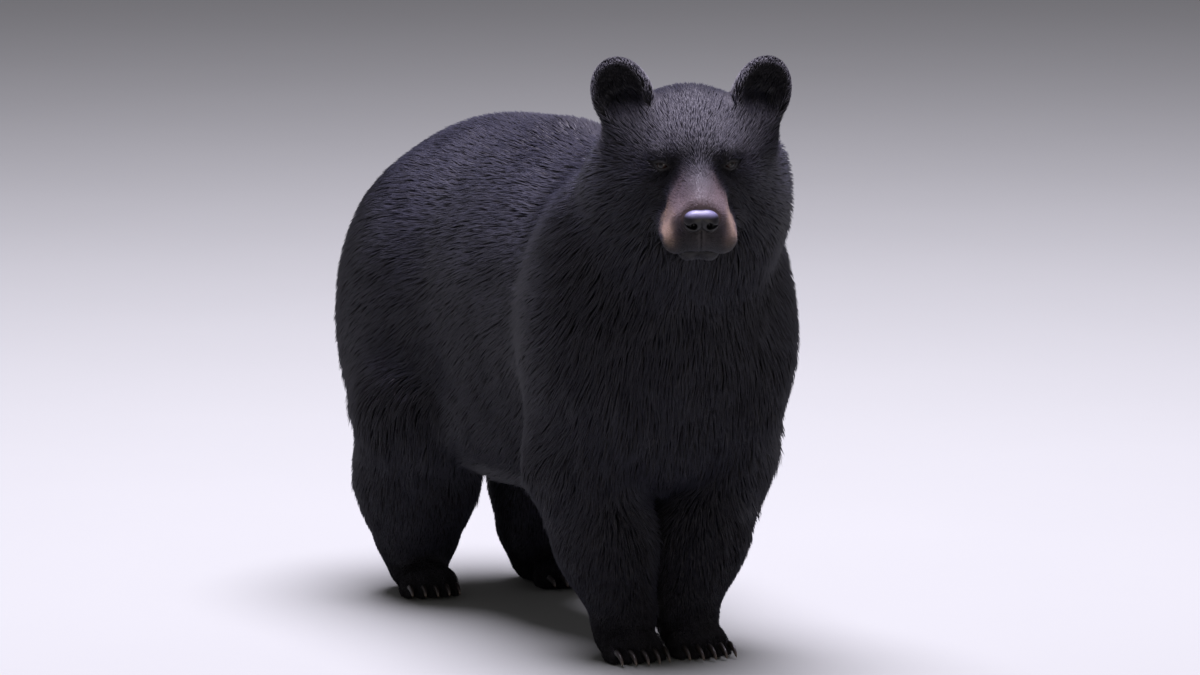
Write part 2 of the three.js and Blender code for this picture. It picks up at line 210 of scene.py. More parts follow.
EYE_OUT, EYE_BACK = 52, 0.6  # from the mid plane, and behind the head's own zero
EYE_RADIUS = 11.0
HEAD_TURN = turned(x=13, z=-19.5, order="XZ")
HEAD_ORIGIN = (middle_of("eye_left") + middle_of("eye_right")) / 2 - HEAD_TURN @ np.array([0, EYE_BACK, 0])
SHIFT = HEAD_ORIGIN[1] + 622  # from the body's own zero to the frame's
EYE_CENTRES = {side: np.array([sign * EYE_OUT, EYE_BACK, 0.0]) for side, sign in SIDES.items()}
EYE_GAZE = {side: unit(np.array([sign * 0.42, -0.9, 0.06])) for side, sign in SIDES.items()}
MUZZLE = 122.0  # between the eyes to the end of the nose


def at(x, y, z):
    """A point given from the body's own zero."""
    return (x, y + SHIFT, z)


def to_head(p):
    """Points in the head's own frame."""
    return ((p - HEAD_ORIGIN) @ HEAD_TURN).astype(np.float32)


def folded(q):
    """Points as columns, with the left and right sides on top of each other."""
    return np.abs(q[:, 0]), q[:, 1], q[:, 2]


def from_eyes(q):
    """Distance to the nearer eye's middle."""
    x, y, z = folded(q)
    return np.linalg.norm(np.stack([x - EYE_OUT, y, z], 1), axis=1)


# ---- the trunk, neck, tail and legs ----

LEAN = 10  # of the shoulders towards its left, where more of the weight is
MELT_BODY = 55.0  # how softly the masses of the body run into one another
MELT_FACE = 20.0


def barrel(y, top, bottom, width, length):
    """A ball of the trunk, by its height at top and bottom."""
    return ball(at(0, y, (top + bottom) / 2), (width / 2, length / 2, (top - bottom) / 2))


TRUNK = melt(
    [
        barrel(350, 800, 300, 390, 540),  # rump
        barrel(215, 834, 252, 400, 560),  # loins
        barrel(20, 848, 232, 410, 660),  # belly
        barrel(-210, 838, 252, 376, 540),  # ribs
        barrel(-385, 650, 278, 300, 240),  # breast
        *both_balls(at(62, 90, 334), (105, 260, 108)),  # hanging sides of the belly
        ball(at(108 + LEAN, -345, 528), (127, 150, 235)),  # shoulders
        ball(at(-108 + LEAN, -345, 528), (127, 150, 235)),
        *both_balls(at(114, 345, 478), (142, 212, 258)),  # haunches
    ],
    MELT_BODY,
)
NECK = melt(
    [
        ball(at(0, -350, 628), (185, 150, 178)),  # base
        limb(at(0, -400, 688), at(2, -460, 742), 178, 170),
        ball(at(6, -466, 795), (166, 114, 146)),  # nape
        ball(at(0, -430, 548), (140, 118, 150)),  # throat
    ],
    MELT_BODY,
)
TAIL = limb(at(0, 570, 612), at(0, 630, 480), 24, 24)


def fore_leg(sign):
    """Upper arm, forearm and wrist, straight under the shoulder."""
    elbow = at(sign * 118 + LEAN, -312, 325)
    wrist = at(sign * 84 + LEAN / 2, -328, 190)
    return melt(
        [
            limb(at(sign * 106 + LEAN, -318, 440), elbow, 80, 93),
            limb(elbow, wrist, 92, 73),
            limb(wrist, at(sign * 58, -350, 80), 73, 54),
        ],
        MELT_BODY,
    )


def hind_leg(sign):
    """Thigh, shank, hock and the ham behind them."""
    knee = at(sign * 144, 275, 335)
    return melt(
        [
            limb(at(sign * 116, 325, 430), knee, 88, 114),
            limb(knee, at(sign * 127, 345, 205), 114, 97),
            limb(at(sign * 127, 352, 200), at(sign * 114, 384, 100), 97, 74),
            limb(at(sign * 112, 398, 380), at(sign * 118, 388, 180), 92, 72),  # ham
        ],
        MELT_BODY,
    )


# ---- the paws: each from under its ankle on the floor, toes towards -Y ----

PAW_WIDTH = 104.0
TOES = (-2, -1, 0, 1, 2)
PAWS = {
    f"{foot}_{side}": {
        "place": np.array(at(sign * track, ankle, 0)),
        "turn": turned(z=sign * out),
        "heel": heel,
        "knuckles": knuckles,
        "claw": claw,
    }
    for foot, track, ankle, out, heel, knuckles, claw in (
        ("forepaw", 58, -350, 1, 40, -52, 36),
        ("hindpaw", 114, 388, 7, 48, -88, 27),
    )
    for side, sign in SIDES.items()
}


def toe_tip(paw, i):
    """Where a toe ends: the middle ones reach farthest."""
    return np.array([i * PAW_WIDTH / 5, paw["knuckles"] - 38 * (1 - 0.07 * i * i), 0])


def paw_outline(paw):
    """A broad palm with five toes that turn down a little."""
    heel, knuckles = paw["heel"], paw["knuckles"]
    palm = melt(
        [
            ball((0, heel - 38, 32), (PAW_WIDTH * 0.38, 38, 36)),
            ball((0, (heel + knuckles) / 2, 31), (PAW_WIDTH * 0.43, (heel - knuckles) / 2, 35)),
            ball((0, knuckles + 12, 26), (PAW_WIDTH * 0.49, 34, 30)),
            ball((0, 0, 52), (PAW_WIDTH * 0.4, 42, 34)),
        ],
        10,
    )
    lean = turned(x=8)
    toes = []
    for i in TOES:
        middle = toe_tip(paw, i) + [0, 31, 14]
        toes.append((middle, ball((0, 0, 0), (PAW_WIDTH / 10 - 0.2, 31, 17))))

    def distance(p):
        q = ((p - paw["place"]) @ paw["turn"]).astype(np.float32)
        each = [toe(((q - middle) @ lean).astype(np.float32)) for middle, toe in toes]
        spread = reduce(lambda a, b: smooth_min(a, b, 4), each)
        return smooth_min(palm(q), spread, 8)

    return distance


# ---- the head, in its own frame: from between the eyes, muzzle towards -Y ----

SKULL = melt(
    [
        ball((0, 104, 3), (104, 106, 93)),
        *both_balls((60, 76, -44), (56, 86, 66)),  # cheekbones
        *both_balls((70, 92, -94), (58, 62, 64)),  # cheeks
        *both_balls((98, 104, 24), (44, 42, 56)),  # under the ears
    ],
    MELT_BODY,
)
HEAD = melt(
    [
        SKULL,
        ball((0, 46, 14), (70, 60, 50)),  # forehead
        *both_balls((44, 16, 20), (24, 22, 14)),  # brows
        limb((0, 10, -14), (0, 36 - MUZZLE, -42), 36, 27),  # bridge
        *both_limbs((28, 0, -44), (25, 38 - MUZZLE, -62), 23, 22),  # sides of the muzzle
        *both_limbs((38, 10, -88), (35, 38 - MUZZLE, -94), 29, 26),  # upper lips
        ball((0, 22 - MUZZLE, -82), (28, 20, 28)),
    ],
    MELT_FACE,
)
JAW = melt(both_limbs((32, 20, -104), (17, 46 - MUZZLE, -116), 27, 19), MELT_FACE)
NOSE = melt(
    [
        ball((0, 12 - MUZZLE, -51), (27, 16, 14.4)),
        *both_balls((13.5, 8 - MUZZLE, -60), (13.5, 13, 13)),  # wings round the nostrils
    ],
    8,
)


def face_depth(q):
    """How deep the coat is over the head."""
    x, y, z = folded(q)
    depth = 1.5 + 2.5 * ease(y, -45, 15) + 4 * ease(y, 20, 80) + 9 * ease(y, 80, 150)
    depth += 7 * ease(x, 45, 90) * ease(-z, -20, 30) * ease(y, 5, 60)
    return mixed(1.8, depth, ease(from_eyes(q), 15, 38))


def parting(q):
    """How far a point is above the line along which the lips meet."""
    return HEAD(q) + face_depth(q) - JAW(q) - 3


def eye_parts(q, side):
    """From an eye's centre: distance, and where a point lies across and up the eye, in mm on its lids."""
    gaze = EYE_GAZE[side]
    across = unit(np.cross(gaze, [0, 0, 1.0])) * -SIDES[side]
    up = np.cross(across, gaze) * -SIDES[side]
    p = q - EYE_CENTRES[side]
    away = np.linalg.norm(p, axis=1)
    d = p / np.maximum(away, 1e-6)[:, None]
    return away, d @ gaze, EYE_RADIUS * (d @ across), EYE_RADIUS * (d @ up)


def lids(q, side):
    """Distance from the eye, from the edge of the lids' opening, height up the eye, and how far ahead."""
    away, ahead, across, up = eye_parts(q, side)
    tilt = up - 0.10 * across  # the inner corner is lower than the outer one
    half = 4.7 * (1 - (across / 9.8) ** 2)
    edge = np.where(ahead > 0.05, np.abs(tilt - 0.2) - half, 9)
    return away, edge, up, ahead


LID = 1.7  # thickness of an eyelid


def with_face(skin, q):
    """A skin distance near the head with the lids, the mouth's groove and the groove under the nose."""
    mouth = hump(parting(q), 2.2) * ease(-q[:, 1], -25, 10) * ease(-q[:, 2], 60, 72)
    seam = hump(q[:, 0], 1.6) * ease(-q[:, 1], 98, 106) * ease(-q[:, 2], 60, 68) * ease(q[:, 2], -114, -104)
    skin = skin + 3.2 * mouth + 2.0 * seam
    for side in SIDES:
        away, edge, up, _ = lids(q, side)
        close = away < 60
        lidded = smooth_min(skin, away - (EYE_RADIUS + LID), 9)
        fold = hump(edge - 3.2, 0.9) * ease(up, 0, 3) * (away < 20)
        opening = smooth_max(edge, (EYE_RADIUS - 1.4) - away, 0.6)
        skin = np.where(close, smooth_max(lidded + 0.8 * fold, -opening, 1.0), skin)
    return skin.astype(np.float32)


EAR_TURN = {side: turned(x=-6, y=sign * 20, z=sign * 14) for side, sign in SIDES.items()}
EAR_PLACE = {side: np.array([sign * 112, 96, 86.0]) for side, sign in SIDES.items()}
EAR_HALF = 49  # of an ear's width
EAR_OUTER = ball((0, 0, 0), (EAR_HALF, 21, 61))
EAR_HOLLOW = ball((0, -15, 0), (39, 20, 50))


def to_ear(q, side):
    """Points of the head's frame in an ear's own."""
    return ((q - EAR_PLACE[side]) @ EAR_TURN[side]).astype(np.float32)


def ear_outline(side):
    """A flat round ear, hollowed in front."""

    def distance(p):
        e = to_ear(to_head(p), side)
        return smooth_max(EAR_OUTER(e), -EAR_HOLLOW(e), 5)

    return distance


# ---- the body's parts, and the coat on each ----


class BodyPart:
    """A part of the body: its outline, how far inside it the skin lies, and how its hair grows."""

    def __init__(self, outline, depth, length, lie, soft, centre=None, reach=None):
        self.outline = only_near(outline, centre, reach) if reach else outline
        self.depth = depth
        self.length = length
        self.lie = lie
        self.soft = soft


def ramp(*points):
    """A number read off a line through (place, value) points."""
    places, values = zip(*points)
    return lambda x: np.interp(x, places, values)


def rows(*columns):
    """Columns side by side, each a number at every point or one number for all."""
    return np.stack([np.broadcast_to(c, columns[0].shape) for c in columns], 1)


def trunk_lie(p):
    """Back along the spine, down the flanks and the rump, down the breast."""
    x, y, z = p[:, 0], p[:, 1] - SHIFT, p[:, 2]
    down = mixed(0.12, 1.0, ease(-z, -780, -430))
    down = mixed(down, 1.7, ease(y, 230, 440))
    down = mixed(down, 2.2, ease(-y, 380, 460))
    belly = ease(-z, -330, -270) * ease(y, -330, -200)
    return rows(0.15 * np.tanh(x / 90) * (1 - belly), 1.0 + 0 * x, -down * (1 - belly))


def neck_lie(p):
    """Back over the nape, and more steeply down the throat."""
    x, z = p[:, 0], p[:, 2]
    down = mixed(0.5, 2.4, ease(-z, -800, -600))
    return rows(0.2 * np.tanh(x / 90) * ease(z, 600, 760), 1.0 + 0 * x, -down)


def leg_lie(p):
    """Down, and a little back."""
    return rows(0 * p[:, 0], 0.28, -1.0)


def paw_lie(p):
    """Down the ankle and forward over the toes."""
    toes = ease(-p[:, 2], -95, -50)
    return rows(0 * p[:, 0], mixed(0.2, -1.6, toes), -1.0)


def tail_lie(p):
    """Down the tail."""
    return rows(0 * p[:, 0], 0.45, -1.0)


def head_lie(p):
    """Back from the nose, up over the brow, down and back over the cheeks, away from the eyes."""
    q = to_head(p)
    x, y, z = q[:, 0], q[:, 1], q[:, 2]
    side = np.tanh(x / 25)
    cheek = ease(-z, -5, 45)
    local = rows(
        side * (0.18 + 0.25 * ease(y, -20, 40)),
        1.0 + 0 * x,
        mixed(0.45 * ease(y, -30, 20), -0.75 * ease(y, -60, 30), cheek),
    )
    for centre in EYE_CENTRES.values():
        away = q - centre
        near = 1 - ease(np.linalg.norm(away, axis=1), 14, 34)
        local = local + 0.7 * near[:, None] * unit(away)
    return local @ HEAD_TURN.T


def ear_lie(side):
    """Up the ear, spreading to its edges."""

    def lie(p):
        e = to_ear(to_head(p), side)
        out = rows(0.35 * e[:, 0] / EAR_HALF, 0 * e[:, 0], 1.0 + 0 * e[:, 0])
        return out @ EAR_TURN[side].T @ HEAD_TURN.T

    return lie


def ear_length(side):
    """Short outside and longer in the cup, where it hides the hollow."""

    def length(p):
        e = to_ear(to_head(p), side)
        return 11 + 10 * (1 - ease(EAR_HOLLOW(e), 1, 6)) * ease(-e[:, 2], -35, 20)

    return length


def fixed(value):
    """The same number everywhere."""
    return lambda p: np.full(len(p), value, np.float32)


def head_length(p):
    """Shortest on the muzzle and round the eyes, longest on the cheeks."""
    q = to_head(p)
    x, y, z = folded(q)
    length = ramp((-120, 5), (-60, 8), (-15, 12), (25, 19), (60, 26), (110, 36), (160, 46))(y)
    length = length * mixed(0.5, 1, ease(from_eyes(q), 14, 40))
    return length + 12 * ease(x, 45, 90) * ease(-z, -10, 40) * ease(y, 5, 60)


# depth and length by height above the floor
leg_depth = ramp((60, 6), (100, 8), (200, 13), (300, 17), (450, 19))
leg_length = ramp((60, 13), (100, 19), (200, 32), (300, 44), (450, 50))
paw_depth = ramp((0, 1.5), (12, 3), (50, 4.5), (90, 8))
paw_length = ramp((0, 7), (30, 9), (60, 12), (95, 18))

PARTS = {
    "trunk": BodyPart(TRUNK, fixed(19), fixed(52), trunk_lie, 45),
    "neck": BodyPart(NECK, fixed(21), fixed(50), neck_lie, 40, at(0, -420, 680), 420),
    "tail": BodyPart(TAIL, fixed(12), fixed(52), tail_lie, 30, at(0, 600, 545), 160),
    "head": BodyPart(
        lambda p: smooth_min(HEAD(to_head(p)), JAW(to_head(p)), 4),
        lambda p: face_depth(to_head(p)),
        head_length,
        head_lie,
        36,
        HEAD_ORIGIN + HEAD_TURN @ np.array([0, 40, -20]),
        300,
    ),
}
for side, sign in SIDES.items():
    for leg, outline, middle in (
        (f"foreleg_{side}", fore_leg(sign), at(sign * 100, -320, 250)),
        (f"hindleg_{side}", hind_leg(sign), at(sign * 125, 330, 250)),
    ):
        PARTS[leg] = BodyPart(
            outline,
            lambda p: leg_depth(p[:, 2]),
            lambda p: leg_length(p[:, 2]),
            leg_lie,
            40,
            middle,
            400,
        )
    PARTS[f"ear_{side}"] = BodyPart(
        ear_outline(side),
        fixed(2.6),
        ear_length(side),
        ear_lie(side),
        14,
        HEAD_ORIGIN + HEAD_TURN @ EAR_PLACE[side],
        110,
    )
for name, paw in PAWS.items():
    PARTS[name] = BodyPart(
        paw_outline(paw),
        lambda p: paw_depth(p[:, 2]),
        lambda p: paw_length(p[:, 2]),
        paw_lie,
        26,
        paw["place"] + [0, -20, 30],
        190,
    )
# each leg and paw stays on its own side of the mid plane
ONE_SIDED = {name: SIDES[name.split("_")[1]] for name in PARTS if "leg" in name or "paw" in name}
MEETING = 16.0  # mm over which one part of the body gives way to the next


def outlines(p):
    """Distance to each part's outline, as columns."""
    columns = []
    for name, part in PARTS.items():
        d = part.outline(p)
        if name in ONE_SIDED:
            d = smooth_max(d, 1.5 - ONE_SIDED[name] * p[:, 0], 6)
        columns.append(d)
    return np.stack(columns, 1)


def shares_of(d):
    """How much of each part a point belongs to, as a row that adds up to 1."""
    weight = np.exp(-np.clip(d - d.min(1, keepdims=True), 0, 400) / MEETING)
    return weight / weight.sum(1, keepdims=True)


def coat_shares(p):
    """The shares of the parts at points in the frame."""
    return shares_of(outlines(np.asarray(p, np.float32)))


FACE_REACH = 190.0  # lids and mouth lie nearer than this to the head's own zero


def skin_distance(p):
    """Distance to the skin, negative inside the body. The soles are cut level with the floor."""
    p = np.asarray(p, np.float32)
    d = outlines(p)
    whole = np.full(len(p), FAR, np.float32)
    ears = np.array([name.startswith("ear") for name in PARTS])
    parts = list(PARTS.values())
    for column in np.nonzero(~ears)[0]:
        whole = smooth_min(whole, d[:, column], parts[column].soft)
    whole = whole + blended(shares_of(np.where(ears, FAR, d)), p, "depth")
    for column in np.nonzero(ears)[0]:
        part = parts[column]
        whole = smooth_min(whole, d[:, column] + part.depth(p), part.soft)
    q = to_head(p)
    face = np.einsum("ij,ij->i", q, q) < FACE_REACH**2
    if face.any():
        whole[face] = with_face(whole[face], q[face])
    return smooth_max(whole, -p[:, 2], 3).astype(np.float32)


def blended(shares, p, what):
    """A property of the body's parts at a point, by the parts it belongs to."""
    total = 0
    for column, part in enumerate(PARTS.values()):
        share = shares[:, column]
        used = share > 0.01
        value = getattr(part, what)(p[used])
        whole = np.zeros((len(p), *value.shape[1:]))
        whole[used] = value * share[used].reshape(-1, *[1] * (value.ndim - 1))
        total = total + whole
    return total


def slope(field, p, step=0.6):
    """The direction in which a field climbs fastest."""
    total = 0
    for corner in ((1, -1, -1), (-1, -1, 1), (-1, 1, -1), (1, 1, 1)):
        corner = np.array(corner, np.float32)
        total = total + field(p + step * corner)[:, None] * corner
    return unit(total)


def settled(field, p, level=0.0, rounds=4, most=6.0):
    """Points moved along the field's slope until they lie on one of its levels."""
    for _ in range(rounds):
        off = np.clip(field(p) - level, -most, most)
        p = p - off[:, None] * slope(field, p)
    return p


# ---- meshes ----


def surface(field, low, high, cell):
    """The field's zero as points and four-sided faces, worked out only on the grid's cubes near it."""
    block, band = 4, 3 * cell
    low = np.array(low, float)
    size = (np.ceil((np.array(high) - low) / cell / block).astype(int) + 1) * block
    starts = np.stack(np.meshgrid(*[np.arange(0, n, block) for n in size], indexing="ij"), -1).reshape(-1, 3)
    middles = low + (starts + (block - 1) / 2) * cell
    d = np.concatenate([field(part) for part in np.array_split(middles, max(1, len(middles) // 200000))])
    inside = reduce(lambda v, axis: np.repeat(v, block, axis), range(3), np.sign(d).reshape(size // block))
    values = inside.astype(np.float32) * band
    close = starts[np.abs(d) < block * cell * 1.5]
    corner = np.stack(np.meshgrid(*[np.arange(block)] * 3, indexing="ij"), -1).reshape(-1, 3)
    for batch in np.array_split(close, max(1, len(close) // 4000)):
        cells = (batch[:, None, :] + corner[None]).reshape(-1, 3)
        near = field(low + cells * cell)
        values[cells[:, 0], cells[:, 1], cells[:, 2]] = np.clip(near, -band, band)
    grid = openvdb.FloatGrid(band)
    grid.copyFromArray(values)
    points, quads = grid.convertToQuads(isovalue=0.0)
    return points * cell + low, quads


def mesh_of(name, points, faces):
    """A mesh from points in millimetres and faces that all have the same number of corners."""
    mesh = bpy.data.meshes.new(name)
    count, corners = faces.shape
    mesh.vertices.add(len(points))
    mesh.vertices.foreach_set("co", (np.asarray(points) * MM).astype(np.float32).ravel())
    mesh.loops.add(count * corners)
    mesh.loops.foreach_set("vertex_index", faces.astype(np.int32).ravel())
    mesh.polygons.add(count)
    mesh.polygons.foreach_set("loop_start", np.arange(0, count * corners, corners, dtype=np.int32))
    mesh.update(calc_edges=True)
    mesh.polygons.foreach_set("use_smooth", np.ones(count, bool))
    return mesh


def placed(name, mesh, material):
    """The mesh as an object in the scene, with its finish."""
    piece = bpy.data.objects.new(name, mesh)
    bpy.context.scene.collection.objects.link(piece)
    mesh.materials.append(material)
    return piece


def write_numbers(mesh, name, values):
    """A number at each point of the mesh, for its material to read."""
    layer = mesh.attributes.new(name, "FLOAT", "POINT")
    layer.data.foreach_set("value", np.asarray(values, np.float32))


def points_of(mesh):
    """The mesh's points in millimetres."""
    points = np.zeros(len(mesh.vertices) * 3, np.float32)
    mesh.vertices.foreach_get("co", points)
    return points.reshape(-1, 3) / MM


def triangles_of(mesh):
    """The mesh's faces as triangles of point numbers."""
    mesh.calc_loop_triangles()
    corners = np.zeros(len(mesh.loop_triangles) * 3, np.int32)
    mesh.loop_triangles.foreach_get("vertices", corners)
    return corners.reshape(-1, 3)


def put_points(mesh, points):
    """Moves the mesh's points to new places in millimetres."""
    mesh.vertices.foreach_set("co", (points * MM).astype(np.float32).ravel())
    mesh.update()


def wander(p, size, seed):
    """Smooth unevenness between -1 and 1 whose swells are about that size across."""
    table = np.random.default_rng(seed).uniform(-1, 1, (32, 32, 32))
    cell = np.floor(p / size).astype(int)
    t = p / size - cell
    t = t * t * (3 - 2 * t)
    total = 0
    for corner in np.ndindex(2, 2, 2):
        share = np.where(corner, t, 1 - t).prod(1)
        total = total + share * table[tuple(((cell + corner) % 32).T)]
    return total


# ---- markings, the same for skin and coat ----


def brown_share(p):
    """1 on the brown muzzle, 0 on the black coat."""
    q = to_head(p)
    x, y, z = folded(q)
    ragged = 5 * wander(p, 9, 3) + 6 * wander(p, 26, 4)
    width = ramp((-125, 65), (-70, 60), (-40, 49), (-20, 40), (0, 34))(y)
    across = 1 - ease(x + ragged, width - 7, width + 7)
    back = 1 - ease(y + ragged + 0.25 * x, -40, -14)
    front = ease(-y, 72, 92) * (1 - ease(x, 26, 44)) * ease(-z, 46, 66)
    low = 1 - 0.92 * ease(-z + 0.5 * ragged, 84, 108)
    jaw = ease(HEAD(q) - JAW(q), 0, 5)
    head = ease(-HEAD(q) - JAW(q), -90, -60)
    return np.clip(across * back * low * (1 - 0.85 * front) * (1 - 0.8 * jaw), 0, 1) * (y < 60) * head


def tan_share(p):
    """1 on the pale edges of the lips, where the brown is lightest."""
    x, y, z = folded(to_head(p))
    lips = ease(x, 34, 52) * ease(-z, 30, 62) * ease(-y, 0, 40)
    return np.clip(lips * (1 + 0.5 * wander(p, 14, 5)), 0, 1)


def painted_light_and_tone(p):
    """How much lighter or darker the coat is than its mean, mostly painted light: a painted sheen on the brow
    and along the top of the back, painted shade on the crown, a painted shadow round the eyes under the
    brows, and a little lighter on the ears.
    """
    q = to_head(p)
    x, y, z = folded(q)
    # the brow is painted lighter: a painted sheen of the overhead light
    brow = hump(x, 56) * hump(y - 34, 48) * ease(z, -10, 20)
    # a painted shadow under the brow ridge, slanting down from the inner top of each eye to its outer bottom,
    # and round the eye itself
    slant = z - 11 + 0.5 * (x - 48)
    painted_socket_shadow = np.maximum(0.6 * hump(x - 47, 19) * hump(z, 14), hump(slant, 11) * hump(x - 46, 24))
    painted_socket_shadow = painted_socket_shadow * ease(-y, -42, -18)
    ears = sum(ease(-EAR_OUTER(to_ear(q, side)), -9, -2) for side in SIDES)
    # the top of the back behind the neck is painted lighter: a painted sheen of the overhead light
    back = ease(p[:, 2], 600, 800) * ease(p[:, 1] - SHIFT, -460, -380)
    # the crown is painted darker: painted shade that holds back the overhead light there
    painted_crown_shade = hump(x, 70) * ease(y, 60, 100) * ease(z, 50, 80)
    return 0.32 * brow - 0.3 * painted_crown_shade - 0.75 * painted_socket_shadow + 0.1 * np.clip(ears, 0, 1) + 0.12 * back


# ---- finishes ----

DARK_TO_PALE = (0.62, 1.42)  # strength of the coat's colour at a shade of 0 and of 1


def shader(name):
    """A new material with its node tree, principled shader and a function that adds a node."""
    material = bpy.data.materials.new(name)
    material.use_nodes = True
    tree = material.node_tree
    surface_node = tree.nodes["Principled BSDF"]

    def node(kind, settings=None, links=None):
        """One node: settings by property or by input name, links as (input, output socket)."""
        new = tree.nodes.new(kind)
        for key, value in (settings or {}).items():
            if isinstance(key, int) or key in new.inputs:
                new.inputs[key].default_value = value
            else:
                setattr(new, key, value)
        for key, source in (links or {}).items():
            tree.links.new(source, new.inputs[key])
        return new

    def connect(source, target):
        """Leads an output to one of the shader's sockets."""
        tree.links.new(source, surface_node.inputs[target])

    return material, surface_node, node, connect


def set_ramp(node, *stops):
    """Fills a colour ramp with (place, colour) stops."""
    elements = node.color_ramp.elements
    while len(elements) > len(stops):
        elements.remove(elements[-1])
    while len(elements) < len(stops):
        elements.new(1.0)
    for element, (place, colour) in zip(elements, stops):
        element.position = place
        element.color = colour


def cells(size):
    """A pattern's scale, from the size of its cells in millimetres."""
    return 1 / (size * MM)


def varied(node, colour, share, dark, light):
    """A colour times one number where share is 0 and another where it is 1."""
    strength = node("ShaderNodeMapRange", {"To Min": dark, "To Max": light}, {"Value": share})
    return node(
        "ShaderNodeHueSaturation", None, {"Value": strength.outputs["Result"], "Color": colour}
    ).outputs["Color"]


def marked(node, colours, paler, brown, tan):
    """The markings that skin and coat share: black, brown on the muzzle and tan along its lips."""
    # black runs from under coat to guard hair by paler: on the coat that is painted shade at the roots, on
    # the skin a random mottle
    black = node(
        "ShaderNodeMix",
        {"data_type": "RGBA", 6: tuple(colours.under_coat), 7: tuple(colours.guard_hair)},
        {0: paler},
    )
    muzzle = node(
        "ShaderNodeMix",
        {"data_type": "RGBA", 6: tuple(colours.muzzle), 7: tuple(colours.lips)},
        {0: tan},
    )
    return node(
        "ShaderNodeMix", {"data_type": "RGBA"}, {0: brown, 6: black.outputs[2], 7: muzzle.outputs[2]}
    ).outputs[2]


def coat_finish(colours):
    """Black bear guard hair: smooth keratin, jet black with a cool gloss, brown and duller on the muzzle."""
    material, base, node, connect = shader("guard_hair")
    along, shade, brown, tan = (
        node("ShaderNodeAttribute", {"attribute_name": name}).outputs["Fac"]
        for name in ("along", "shade", "brown", "tan")
    )
    # a lock is darker at its root, where less light reaches it
    depth = node("ShaderNodeMapRange", {"From Min": 0.1, "From Max": 0.6}, {"Value": along})
    colour = marked(node, colours, depth.outputs["Result"], brown, tan)
    # the shade lightens or darkens the colour: partly random tone, partly painted sheen on the brow and back,
    # painted shade on the crown and painted shadow round the eyes
    connect(varied(node, colour, shade, *DARK_TO_PALE), "Base Color")
    # pale locks are those whose dry tips scatter the light, dark ones those that lie close; part of the pale
    # and the dark is painted sheen and painted shadow carried in the shade
    rough = node("ShaderNodeMapRange", {"To Min": 0.46, "To Max": 0.62}, {"Value": shade})
    connect(rough.outputs["Result"], "Roughness")
    gloss = node("ShaderNodeMapRange", {"To Min": 0.08, "To Max": 0.42}, {"Value": shade})
    connect(gloss.outputs["Result"], "Specular IOR Level")
    base.inputs["IOR"].default_value = 1.55
    base.inputs["Sheen Weight"].default_value = 0.05
    base.inputs["Sheen Roughness"].default_value = 0.45
    base.inputs["Sheen Tint"].default_value = hex_colour("#b9bce0")
    return material


def skin_finish(colours):
    """Bear skin: dark and finely creased under the coat, brown on the muzzle, black and moist on the lids."""
    material, base, node, connect = shader("skin")
    place = node("ShaderNodeTexCoord").outputs["Object"]
    brown, tan, bare, shade = (
        node("ShaderNodeAttribute", {"attribute_name": name}).outputs["Fac"]
        for name in ("brown", "tan", "bare", "shade")
    )
    mottle = node("ShaderNodeTexNoise", {"Scale": cells(6.25), "Detail": 5.0}, {"Vector": place})
    skinned = node(
        "ShaderNodeMix",
        {"data_type": "RGBA", 7: tuple(colours.bare_skin)},
        {0: bare, 6: marked(node, colours, mottle.outputs["Fac"], brown, tan)},
    )
    # the shade lightens or darkens the skin's colour: painted sheen on the brow and back, painted shade on
    # the crown, painted shadow round the eyes
    connect(varied(node, skinned.outputs[2], shade, *DARK_TO_PALE), "Base Color")
    rough = node("ShaderNodeMapRange", {"To Min": 0.62, "To Max": 0.5}, {"Value": bare})
    connect(rough.outputs["Result"], "Roughness")
    # creases 2.4 mm apart, coarser than the real ones, which would not show
    creases = node("ShaderNodeTexVoronoi", {"Scale": cells(2.38)}, {"Vector": place})
    nap = node("ShaderNodeTexNoise", {"Scale": cells(1.11), "Detail": 2.0}, {"Vector": place})
    height = node(
        "ShaderNodeMath",
        {"operation": "MULTIPLY_ADD"},
        {0: creases.outputs["Distance"], 1: bare, 2: nap.outputs["Fac"]},
    )
    bump = node("ShaderNodeBump", {"Strength": 0.5, "Distance": 0.6 * MM}, {"Height": height.outputs[0]})
    connect(bump.outputs["Normal"], "Normal")
    base.inputs["Specular IOR Level"].default_value = 0.4
    return material


